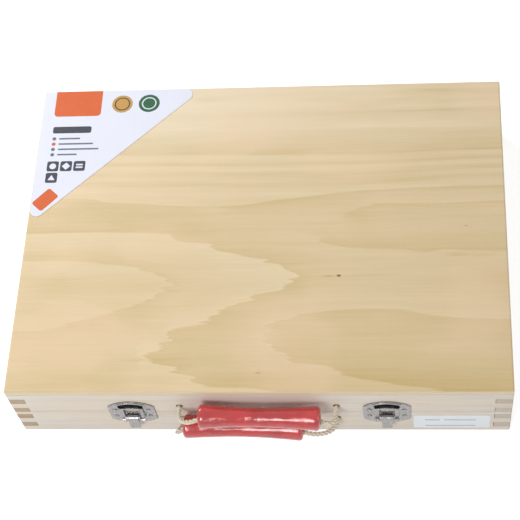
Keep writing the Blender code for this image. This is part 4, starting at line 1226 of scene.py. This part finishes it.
@dataclass(frozen=True)
class RopeStrands:
    """Three strands laid up along a route, closed by rounded ends."""

    LAY_MAP = "rope_lay"
    radius: float = 0.0015
    lay_length: float = 0.0078
    strands: int = 3
    sides: int = 12
    step: float = 0.00034
    plumpness: float = 1.06
    least_open: float = 0.02

    def frames(self, route: Sequence[Vector]) -> list[tuple[Vector, Vector, Vector]]:
        """Carries two cross directions along a route without twist.

        Args:
            route: Evenly spaced points.

        Returns:
            Direction, side and up at each point.
        """
        made = []
        side = None
        for i in range(len(route)):
            ahead = (route[min(i + 1, len(route) - 1)] - route[max(i - 1, 0)]).normalized()
            if side is None:
                start = Vector((0, 0, 1)) if abs(ahead.z) < 0.8 else Vector((1, 0, 0))
                side = ahead.cross(start).normalized()
            side = (side - ahead * side.dot(ahead)).normalized()
            made.append((ahead, side, ahead.cross(side)))
        return made

    def closing(self, walked: float, total: float) -> float:
        """How far the rope has opened from its rounded end.

        Args:
            walked: Length from the rope's start.
            total: Length of the rope.

        Returns:
            A share from 0 at the tip to 1.
        """
        left = min(walked, total - walked)
        if left >= self.radius:
            return 1.0
        return math.sqrt(max(1 - (1 - left / self.radius) ** 2, 0.0))

    def add_to(self, shape: bmesh.types.BMesh, points: Sequence[Vector]) -> None:
        """Adds the rope along a line of points to a shape.

        Args:
            shape: Shape that takes the rope.
            points: Centre line of the rope.
        """
        route = resample(points, self.step)
        frames = self.frames(route)
        lay = shape.loops.layers.uv.get(self.LAY_MAP) or shape.loops.layers.uv.new(self.LAY_MAP)
        strand_radius = self.radius / (1 + 2 / math.sqrt(3))
        offset = self.radius - strand_radius
        total = self.step * (len(route) - 1)
        for strand in range(self.strands):
            rings = []
            for i, (point, (ahead, side, up)) in enumerate(zip(route, frames)):
                open_share = max(self.closing(i * self.step, total), self.least_open)
                angle = math.tau * (i * self.step / self.lay_length + strand / self.strands)
                out = side * math.cos(angle) + up * math.sin(angle)
                around = ahead.cross(out)
                centre = point + out * offset * open_share
                plump = strand_radius * open_share * self.plumpness
                ring = []
                for k in range(self.sides):
                    turn = math.tau * k / self.sides
                    spoke = (out * math.cos(turn) + around * math.sin(turn)) * plump
                    ring.append(shape.verts.new(centre + spoke))
                rings.append(ring)
            self.skin(shape, rings, lay)

    def skin(self, shape: bmesh.types.BMesh, rings: list[list[bmesh.types.BMVert]],
             lay: bmesh.types.BMLayerItem) -> None:
        """Joins the rings of one strand and closes its ends.

        Args:
            shape: Shape that holds the rings.
            rings: Rings of vertices along the strand.
            lay: Map that takes the length and turn of each corner.
        """
        for i in range(len(rings) - 1):
            for k in range(self.sides):
                after = (k + 1) % self.sides
                face = shape.faces.new((rings[i][k], rings[i][after], rings[i + 1][after], rings[i + 1][k]))
                corners = ((i, k), (i, k + 1), (i + 1, k + 1), (i + 1, k))
                for loop, (along, turn) in zip(face.loops, corners):
                    loop[lay].uv = (along * self.step / MM, turn / self.sides)
        shape.faces.new(list(reversed(rings[0])))
        shape.faces.new(rings[-1])


def bezier(corners: Sequence[Vector], steps: int) -> list[Vector]:
    """Points on a cubic curve.

    Args:
        corners: Start, its pull, the end's pull and the end.
        steps: Number of steps.

    Returns:
        The points.
    """
    points = []
    for i in range(steps + 1):
        t = i / steps
        weights = ((1 - t) ** 3, 3 * t * (1 - t) ** 2, 3 * t ** 2 * (1 - t), t ** 3)
        points.append(sum((corner * w for corner, w in zip(corners, weights)), Vector()))
    return points


@dataclass(frozen=True)
class RopeHandle:
    """A turned grip on its rope, and the rope's knots behind the front board."""

    prefix: str
    lacquer: bpy.types.Material
    cotton: bpy.types.Material
    lift_deg: float
    shift: float
    hole_half_spacing: float = 0.0469
    reach: float = 0.0110
    grip_length: float = 0.072
    end_radius: float = 0.00731
    waist_radius: float = 0.00573
    end_round: float = 0.0023
    round_steps: int = 12
    swell_steps: int = 40
    bore_radius: float = 0.0038
    bore_rim: float = 0.0004
    tilt_deg: float = 1.25
    swell_power: float = 1.8
    pull: float = 0.0120
    droop_deg: float = 25.0
    sweep: float = 0.0070
    dip: float = 0.0025
    mouth_gap: float = 0.0004
    tuck_share: float = 0.8
    loop_steps: int = 24
    bore_steps: int = 60
    lie_deg: float = 63.0
    bore_gap: float = 0.0003
    board: float = 0.0103
    end_gap: float = 0.0003
    coil_radius: float = 0.0026
    coil_turns: float = 1.6
    coil_top: float = 0.0058
    coil_foot: float = 0.0003
    neck: float = 0.0012
    hump: float = 0.0006
    first_turn_deg: float = 150.0
    coil_steps: int = 20
    tail: float = 0.0062
    tail_tilt_deg: float = 35.0
    tail_lean_share: float = 0.9
    tail_rise_share: float = 0.3
    rope: RopeStrands = RopeStrands()
    sides: int = 96

    @property
    def swing(self) -> dict[str, Any]:
        """The frame's joint that the handle swings on."""
        return next(joint for joint in frame["joints"] if joint["name"] == self.prefix + "_handle_swing")

    def placing(self) -> Matrix:
        """From the handle's own frame to the frame of the solids."""
        lift = Matrix.Rotation(-math.radians(self.lift_deg), 4, "X")
        return Matrix.Translation(self.swing["pos_m"]) @ lift

    def profile(self) -> list[Point]:
        """Radius and place along the grip, down its outside and back up its bore.

        Returns:
            The points of the profile.
        """
        half, end = self.grip_length / 2, self.end_round
        rim = self.bore_rim
        points: list[Point] = [(self.bore_radius, half - rim), (self.bore_radius + rim, half)]
        centre = (self.end_radius - end, half - end)
        for i in range(self.round_steps + 1):
            angle = math.radians(90 - 90 * i / self.round_steps)
            points.append((centre[0] + end * math.cos(angle), centre[1] + end * math.sin(angle)))
        far_end = [(radius, -place) for radius, place in reversed(points)]
        for i in range(1, self.swell_steps):
            place = 1 - 2 * i / self.swell_steps
            swell = (self.end_radius - self.waist_radius) * abs(place) ** self.swell_power
            points.append((self.waist_radius + swell, (half - end) * place))
        return points + far_end

    def build_grip(self) -> bpy.types.Object:
        """Turns the grip.

        Returns:
            The grip.
        """
        across = Matrix.Rotation(math.pi / 2 + math.radians(self.tilt_deg), 4, "Y")
        place = self.placing() @ Matrix.Translation((self.shift, -self.reach, 0)) @ across
        shape = bmesh.new()
        rings = []
        for radius, along in self.profile():
            ring = []
            for k in range(self.sides):
                turn = math.tau * k / self.sides
                spot = Vector((radius * math.cos(turn), radius * math.sin(turn), along))
                ring.append(shape.verts.new(place @ spot))
            rings.append(ring)
        for i in range(len(rings)):
            ring, after = rings[i], rings[(i + 1) % len(rings)]
            for k in range(self.sides):
                other = (k + 1) % self.sides
                shape.faces.new((ring[k], ring[other], after[other], after[k]))
        grip = new_piece(self.prefix + "_turned_grip", shape, self.lacquer, self.swing["child"])
        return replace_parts(grip, self.prefix + "_grip")

    def route(self) -> list[Vector]:
        """The rope's centre line from hole to hole through the grip.

        Returns:
            Its points in the frame of the solids.
        """
        droop, lie = math.radians(self.droop_deg), math.radians(self.lie_deg)
        offset = self.bore_radius - self.rope.radius - self.bore_gap
        outward = self.reach + offset * math.cos(lie)
        slope = math.tan(math.radians(self.tilt_deg))
        runs = []
        for side in (-1, 1):
            hole = side * self.hole_half_spacing
            mouth = self.shift + side * (self.grip_length / 2 + self.mouth_gap)
            height = -slope * (mouth - self.shift) - offset * math.sin(lie)
            first = Vector((hole, -self.pull * math.cos(droop), -self.pull * math.sin(droop)))
            last = Vector((mouth + side * self.sweep, -outward - self.dip / 2, height - self.dip))
            corners = (Vector((hole, 0, 0)), first, last, Vector((mouth, -outward, height)))
            run = bezier(corners, self.loop_steps)
            inward = (run[0] - run[1]).normalized()
            runs.append([run[0] + inward * self.rope.radius * self.tuck_share] + run)
        inside = [runs[0][-1].lerp(runs[1][-1], i / self.bore_steps) for i in range(1, self.bore_steps)]
        place = self.placing()
        return [place @ point for point in runs[0] + inside + list(reversed(runs[1]))]

    def build_rope(self) -> bpy.types.Object:
        """Lays the rope up along its route.

        Returns:
            The rope.
        """
        shape = bmesh.new()
        self.rope.add_to(shape, self.route())
        rope = new_piece(self.prefix + "_laid_rope", shape, self.cotton, self.swing["child"])
        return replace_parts(rope, self.prefix + "_handle_rope")

    def knot_line(self, side: int) -> list[Vector]:
        """The rope's end: straight through the hole, wound round itself, then a short tail.

        Args:
            side: -1 for the left hole, 1 for the right.

        Returns:
            Its points in the frame of the solids.
        """
        _, axis_y, hole_height = self.swing["pos_m"]
        axis_standout = -CASE_HALF_DEPTH - axis_y
        start = self.end_gap + self.rope.radius - axis_standout
        top = self.board + self.coil_top
        low = self.board + self.rope.radius + self.coil_foot
        points = [(depth, 0.0, 0.0) for depth in (start, self.board * 0.5, self.board, top - self.neck)]
        first_turn = math.radians(self.first_turn_deg)
        for share in (0.25, 0.5, 0.75):
            angle = first_turn * share
            reach = self.coil_radius * math.sin(share * math.pi / 2)
            rise = top + self.hump * math.sin(share * math.pi)
            points.append((rise, reach * math.cos(angle), reach * math.sin(angle)))
        for i in range(self.coil_steps + 1):
            share = i / self.coil_steps
            angle = first_turn + math.tau * self.coil_turns * share
            points.append((top + (low - top) * share, self.coil_radius * math.cos(angle),
                           self.coil_radius * math.sin(angle)))
        tilt = math.radians(self.tail_tilt_deg)
        last = points[-1]
        for share in (0.45, 1.0):
            run = self.tail * share
            points.append((last[0] + run * math.sin(tilt),
                           last[1] - run * math.cos(tilt) * self.tail_lean_share,
                           last[2] + run * self.tail_rise_share))
        hole = Vector((side * self.hole_half_spacing, -CASE_HALF_DEPTH, hole_height))
        return [hole + Vector((side * v, u, w)) for u, v, w in points]

    def build_knots(self) -> list[bpy.types.Object]:
        """Ties both ends of the rope behind the board.

        Returns:
            The two knots.
        """
        knots = []
        for name, side in (("left", -1), ("right", 1)):
            shape = bmesh.new()
            self.rope.add_to(shape, self.knot_line(side))
            end = f"{self.prefix}_{name}"
            knot = new_piece(end + "_tied_knot", shape, self.cotton, self.swing["parent"])
            knots.append(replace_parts(knot, end + "_knot"))
        return knots

    def build(self) -> list[bpy.types.Object]:
        """Makes the grip, rope and knots."""
        return [self.build_grip(), self.build_rope(), *self.build_knots()]


@dataclass(frozen=True)
class Halves:
    """The case's two halves: panels and finger-jointed boards."""

    along_front: tuple[str, ...] = ("lower_front_board", "lower_back_board", "upper_front_board",
                                    "upper_back_board")
    along_left: tuple[str, ...] = ("lower_left_board", "upper_left_board")
    along_right: tuple[str, ...] = ("lower_right_board", "upper_right_board")

    def build(self) -> list[bpy.types.Object]:
        """Dresses the panels and boards.

        Returns:
            Their solids.
        """
        lid = Veneer("lid_veneer", LID_FIGURE, LID_PATCHES, LID_KNOTS, LID_BANDS, middle_height=54.0)
        base = Veneer("base_veneer", BASE_FIGURE, BASE_PATCHES, BASE_KNOTS, BASE_BANDS, middle_height=2.0)
        front = BoardTimber("front_board_timber", GrainRun.ALONG_FRONT)
        left = BoardTimber("left_board_timber", GrainRun.ALONG_SIDE)
        right = BoardTimber("right_board_timber", GrainRun.ALONG_SIDE, end_pale=from_screen(218, 204, 186),
                            end_grey=from_screen(202, 193, 180), end_dark=from_screen(178, 158, 134))
        rows = ((("upper_panel",), lid), (("lower_panel",), base), (self.along_front, front),
                (self.along_left, left), (self.along_right, right))
        return [solid for nodes, finish in rows for solid in dress(nodes, finish.build())]


@dataclass(frozen=True)
class Fittings:
    """The toggle latches and butt hinges, which keep their solids."""

    slot: str = "nickel"

    def build(self) -> list[bpy.types.Object]:
        """Dresses every metal solid."""
        metal = [row["node"] for row in frame["record"]["subparts"] if row["material_slot"] == self.slot]
        return dress(metal, NickelPlate().build())


def rounded_outline(corners: Sequence[Corner], steps: int = 8) -> list[Point]:
    """Rounds the corners of an outline.

    Args:
        corners: X, Y and corner radius of each corner, anticlockwise.
        steps: Steps of each rounding.

    Returns:
        The rounded outline.
    """
    outline: list[Point] = []
    count = len(corners)
    for i, (x, y, radius) in enumerate(corners):
        here = Vector((x, y))
        before = (Vector(corners[i - 1][:2]) - here).normalized()
        after = (Vector(corners[(i + 1) % count][:2]) - here).normalized()
        if radius <= 0:
            outline.append((x, y))
            continue
        half = before.angle(after) / 2
        middle = here + (before + after).normalized() * radius / math.sin(half)
        start = here + before * radius / math.tan(half) - middle
        end = here + after * radius / math.tan(half) - middle
        sweep = start.angle_signed(end)
        for k in range(steps + 1):
            turned = start.copy()
            turned.rotate(Matrix.Rotation(-sweep * k / steps, 2))
            outline.append((middle.x + turned.x, middle.y + turned.y))
    return outline


def disc_outline(x: float, y: float, radius: float, steps: int = 40) -> list[Point]:
    """A circle as an outline."""
    turns = [math.tau * k / steps for k in range(steps)]
    return [(x + radius * math.cos(turn), y + radius * math.sin(turn)) for turn in turns]


def block_outline(x: float, y: float, width: float, height: float, radius: float,
                  turn_deg: float = 0.0) -> list[Point]:
    """A rounded block as an outline.

    Args:
        x: Centre.
        y: Centre.
        width: Full width.
        height: Full height.
        radius: Corner radius.
        turn_deg: Turn about its centre.

    Returns:
        The outline.
    """
    turn = math.radians(turn_deg)
    corners = []
    for right, up in ((-1, -1), (1, -1), (1, 1), (-1, 1)):
        cx, cy = right * width / 2, up * height / 2
        corners.append((x + cx * math.cos(turn) - cy * math.sin(turn),
                        y + cx * math.sin(turn) + cy * math.cos(turn), radius))
    return rounded_outline(corners, 5)


@dataclass(frozen=True)
class PaperLabel:
    """A paper label: a thin card and plain printed shapes on it, on the lid or upright on the front."""

    name: str
    body: str
    upright: bool = False
    back_gap: float = 0.00003
    thickness: float = 0.00030
    ink_lift: float = 0.00002

    def at(self, point: Point, away: float) -> Vector:
        """Finds where a point of an outline lies.

        Args:
            point: The point in millimetres.
            away: Its distance from the surface.

        Returns:
            The place in the frame of the solids.
        """
        x, y = point[0] * MM, point[1] * MM
        if self.upright:
            return Vector((x, -CASE_HALF_DEPTH - away, y))
        return Vector((x, y, CASE_HEIGHT + away))

    def lay(self, part: str, outlines: Sequence[Sequence[Point]], finish: bpy.types.Material,
            level: int = 0) -> bpy.types.Object:
        """Lays the card or one ink on the case.

        Args:
            part: Name of the card or ink.
            outlines: Its outlines in millimetres.
            finish: Its material.
            level: 0 for the card, higher for inks over it.

        Returns:
            The card or ink.
        """
        shape = bmesh.new()
        low = self.thickness if level else self.back_gap
        high = self.thickness + self.ink_lift * level
        for outline in outlines:
            lower = [shape.verts.new(self.at(point, low)) for point in outline]
            upper = [shape.verts.new(self.at(point, high)) for point in outline]
            shape.faces.new(lower)
            shape.faces.new(upper)
            for i in range(len(outline)):
                after = (i + 1) % len(outline)
                shape.faces.new((lower[i], lower[after], upper[after], upper[i]))
        return new_piece(f"{self.name}_{part}", shape, finish, self.body, smooth=False)


@dataclass(frozen=True)
class CornerLabel(PaperLabel):
    """The three-cornered label on the lid's back left corner, with plain blocks, discs and bars."""

    name: str = "corner_label"
    body: str = "lid"
    inks: tuple[tuple[str, Colour], ...] = (
        ("orange", from_screen(214, 98, 42)),
        ("green", from_screen(34, 92, 58)),
        ("gold", from_screen(196, 150, 74)),
        ("slate", from_screen(56, 60, 70)),
        ("grey", from_screen(104, 110, 122)),
    )
    card: tuple[Corner, ...] = ((-149.3, 109.5, 2.6), (-149.3, 6.0, 4.6), (-43.6, 109.5, 4.6))
    block: tuple[Corner, ...] = ((-141.8, 109.3, 0.0), (-141.8, 89.2, 2.6), (-110.6, 89.2, 2.6),
                                 (-110.6, 109.3, 0.0))
    tab: tuple[float, ...] = (-140.3, 24.6, 15.4, 9.4, 1.6, 47.0)
    heading: tuple[float, ...] = (-128.4, 78.4, 25.6, 5.2, 1.2)
    green_disc: Point = (-78.8, 98.4)
    green_radii: tuple[float, ...] = (7.0, 4.9, 4.1)
    gold_disc: Point = (-96.7, 98.3)
    gold_radii: tuple[float, ...] = (6.9, 5.2, 4.4)
    first_row: float = 71.5
    row_pitch: float = 4.15
    row_widths: tuple[float, ...] = (14.0, 23.0, 27.0, 13.0)
    row_height: float = 1.2
    row_corner: float = 0.5
    bar_x: float = -136.4
    dot_x: float = -139.6
    dot_radius: float = 1.3
    first_square: Point = (-138.2, 50.0)
    square_pitch: float = 8.75
    square_size: float = 7.7
    square_corner: float = 1.2
    lower_square: float = 41.2
    mark_radius: float = 2.2
    mark_side: float = 4.0
    mark_bar: tuple[float, float] = (4.6, 1.2)
    mark_bar_rise: float = 1.0
    mark_corners: tuple[float, ...] = (0.5, 0.4, 0.3)
    peak: tuple[float, ...] = (2.4, 1.8, 2.2)

    def row_dot(self, row: int) -> list[Point]:
        """The dot that starts a row of the list."""
        return disc_outline(self.dot_x, self.first_row - self.row_pitch * row, self.dot_radius, 20)

    def rows(self) -> list[list[Point]]:
        """The bars of the list and all their dots but the second.

        Returns:
            Their outlines.
        """
        outlines = []
        for i, width in enumerate(self.row_widths):
            height = self.first_row - self.row_pitch * i
            middle = self.bar_x + width / 2
            outlines.append(block_outline(middle, height, width, self.row_height, self.row_corner))
        return outlines + [self.row_dot(row) for row in (0, 2, 3)]

    def squares(self) -> list[list[Point]]:
        """Three dark squares in a row and one below the first.

        Returns:
            Their outlines.
        """
        places = [(self.first_square[0] + self.square_pitch * i, self.first_square[1]) for i in range(3)]
        places.append((self.first_square[0], self.lower_square))
        size = self.square_size
        return [block_outline(x, y, size, size, self.square_corner) for x, y in places]

    def square_marks(self) -> list[list[Point]]:
        """Plain marks in the squares: a disc, a turned block, two bars and a triangle.

        Returns:
            Their outlines.
        """
        x, y = self.first_square
        turned, bars = x + self.square_pitch, x + 2 * self.square_pitch
        half, foot, tip = self.peak
        block_round, bar_round, peak_round = self.mark_corners
        triangle = ((x - half, self.lower_square - foot, peak_round),
                    (x + half, self.lower_square - foot, peak_round),
                    (x, self.lower_square + tip, peak_round))
        return [
            disc_outline(x, y, self.mark_radius, 24),
            block_outline(turned, y, self.mark_side, self.mark_side, block_round, 45.0),
            block_outline(bars, y + self.mark_bar_rise, *self.mark_bar, bar_round),
            block_outline(bars, y - self.mark_bar_rise, *self.mark_bar, bar_round),
            rounded_outline(triangle, 3),
        ]

    def build(self) -> list[bpy.types.Object]:
        """Makes the card and its inks.

        Returns:
            Its pieces.
        """
        white = PrintedCard("label_card").build()
        ink = {name: PrintedCard("label_" + name, colour).build() for name, colour in self.inks}
        green = [[disc_outline(*self.green_disc, radius)] for radius in self.green_radii]
        gold = [[disc_outline(*self.gold_disc, radius)] for radius in self.gold_radii]
        block = rounded_outline(self.block, 6)
        return [
            self.lay("card", [rounded_outline(self.card, 10)], white),
            self.lay("orange", [block, block_outline(*self.tab)], ink["orange"], 1),
            self.lay("green", green[0], ink["green"], 1),
            self.lay("gold", gold[0], ink["gold"], 1),
            self.lay("rings", green[1], white, 2),
            self.lay("green_middle", green[2], ink["green"], 3),
            self.lay("gold_ring", gold[1], ink["slate"], 2),
            self.lay("gold_middle", gold[2], ink["gold"], 3),
            self.lay("heading", [block_outline(*self.heading)], ink["slate"], 1),
            self.lay("rows", self.rows(), ink["grey"], 1),
            self.lay("row_dot", [self.row_dot(1)], ink["orange"], 1),
            self.lay("squares", self.squares(), ink["slate"], 1),
            self.lay("square_marks", self.square_marks(), white, 2),
        ]


@dataclass(frozen=True)
class FrontLabel(PaperLabel):
    """The paper strip low on the front, right of the right latch."""

    name: str = "front_label"
    body: str = "base"
    upright: bool = True
    paper: Colour = from_screen(242, 246, 250)
    ink: Colour = from_screen(170, 178, 188)
    strip: tuple[float, ...] = (115.0, 13.6, 45.4, 17.6, 0.5)
    bars: tuple[tuple[float, ...], ...] = (
        (103.4, 16.4, 9.0, 1.1, 0.4),
        (119.8, 16.4, 19.0, 1.1, 0.4),
        (114.2, 8.0, 30.0, 1.0, 0.4),
    )

    def build(self) -> list[bpy.types.Object]:
        """Makes the strip with three plain bars.

        Returns:
            The strip and its bars.
        """
        white = PrintedCard("strip_card", bare=self.paper).build()
        grey = PrintedCard("strip_grey", self.ink).build()
        bars = [block_outline(*bar) for bar in self.bars]
        return [self.lay("card", [block_outline(*self.strip)], white), self.lay("bars", bars, grey, 1)]


def seen_directly(sheet: NodeSheet) -> Wire:
    """Marks the rays of the camera and those that gloss and glass send on.

    Args:
        sheet: Sheet of the material or world.

    Returns:
        One for these rays, else zero.
    """
    path = sheet.node("ShaderNodeLightPath").outputs
    seen = Wire(sheet, path["Is Camera Ray"]).most(Wire(sheet, path["Is Glossy Ray"]))
    return seen.most(Wire(sheet, path["Is Transmission Ray"]))


@dataclass(frozen=True)
class PaleFloor:
    """White floor that keeps the object's shadow and clears to white around it."""

    name: str = "pale_floor"
    half_size: float = 3.0
    drop: float = 0.0002
    colour: Colour = (0.62, 0.62, 0.62)
    mottle: Colour = (0.60, 0.60, 0.60)
    lift: float = 0.70

    def build(self) -> bpy.types.Object:
        """Lays the floor.

        Returns:
            The floor.
        """
        shader = Shader(self.name)
        sheet = shader.sheet
        colour = sheet.mix(sheet.noise(sheet.place(), 0.004, 2.0), self.colour, self.mottle)
        shader.give(Base_Color=colour, Roughness=0.9, Specular_IOR_Level=0.1)
        glow = sheet.mix(seen_directly(sheet), (0.0, 0.0, 0.0), (self.lift, self.lift, self.lift))
        shader.give(Emission_Color=glow, Emission_Strength=1.0)
        shape = bmesh.new()
        for x, y in ((-1, -1), (1, -1), (1, 1), (-1, 1)):
            shape.verts.new((x * self.half_size, y * self.half_size, -self.drop))
        shape.faces.new(shape.verts)
        floor = link_mesh(self.name, shape, shader.material)
        return floor


@dataclass(frozen=True)
class Lamp:
    """One soft panel of light that looks at the case."""

    name: str
    place: tuple[float, float, float]
    size: float
    power: float
    target: tuple[float, float, float] = (0.0, 0.0, 0.03)

    def build(self) -> bpy.types.Object:
        """Hangs the lamp.

        Returns:
            The lamp.
        """
        light = bpy.data.lights.new(self.name, "AREA")
        light.shape = "DISK"
        light.size = self.size
        light.energy = self.power
        made = bpy.data.objects.new(self.name, light)
        made.location = self.place
        made.rotation_euler = (Vector(self.target) - Vector(self.place)).to_track_quat("-Z", "Y").to_euler()
        bpy.context.scene.collection.objects.link(made)
        return made


@dataclass(frozen=True)
class Studio:
    """Floor, soft lamps, pale surroundings and the camera."""

    lamps: tuple[Lamp, ...] = (
        Lamp("key_lamp", (-0.55, 0.50, 0.60), 0.55, 4.9),
        Lamp("side_lamp", (1.00, -0.20, 0.28), 0.50, 1.3),
        Lamp("front_lamp", (-0.30, -0.85, 0.70), 0.46, 5.3),
    )
    ambient: float = 0.40
    eye: tuple[float, float, float] = (0.0920, -0.4557, 0.8181)
    right: tuple[float, float, float] = (0.99444387, 0.0419111, -0.09656528)
    up: tuple[float, float, float] = (0.01134255, 0.86932518, 0.49411039)
    ahead: tuple[float, float, float] = (-0.10465534, 0.49246035, -0.86401971)
    lens: float = 99.6
    film: float = 36.0
    nearest: float = 0.01

    def build_world(self) -> None:
        """Makes pale surroundings that the camera and gloss see as white."""
        world = bpy.data.worlds.new("pale_room")
        world.use_nodes = True
        sheet = NodeSheet(world.node_tree)
        strength = seen_directly(sheet) * (1.0 - self.ambient) + self.ambient
        back = sheet.placed("ShaderNodeBackground", {"Color": (1.0, 1.0, 1.0), "Strength": strength})
        sheet.feed(sheet.node("ShaderNodeOutputWorld").inputs["Surface"], back)
        bpy.context.scene.world = world

    def build_camera(self) -> bpy.types.Object:
        """Stands the camera where the photograph was taken.

        Returns:
            The camera.
        """
        lens = bpy.data.cameras.new("camera")
        lens.lens = self.lens
        lens.sensor_width = self.film
        lens.clip_start = self.nearest
        camera = bpy.data.objects.new("camera", lens)
        columns = (Vector(self.right), Vector(self.up), -Vector(self.ahead))
        turned = Matrix([[column[row] for column in columns] for row in range(3)]).to_4x4()
        camera.matrix_world = Matrix.Translation(self.eye) @ turned
        bpy.context.scene.collection.objects.link(camera)
        bpy.context.scene.camera = camera
        return camera

    def build(self) -> None:
        """Makes the whole studio."""
        self.build_camera()
        self.build_world()
        PaleFloor().build()
        for lamp in self.lamps:
            lamp.build()
        bpy.context.scene.view_settings.view_transform = "Standard"


def main() -> None:
    """Builds every sub-assembly in order and reports its pieces."""
    logging.basicConfig(level=logging.INFO, format="%(name)s: %(message)s")
    Studio().build()
    lacquer, cotton = RedLacquer().build(), CottonRope().build()
    assemblies = (
        Halves(),
        Fittings(),
        RopeHandle("upper", lacquer, cotton, lift_deg=33.5, shift=0.002),
        RopeHandle("lower", lacquer, cotton, lift_deg=38.8, shift=-0.009),
        CornerLabel(),
        FrontLabel(),
    )
    for assembly in assemblies:
        for piece in assembly.build():
            LOG.info("%s: %d faces in %s", piece.name, len(piece.data.polygons), piece.active_material.name)


if __name__ == "__main__":
    main()
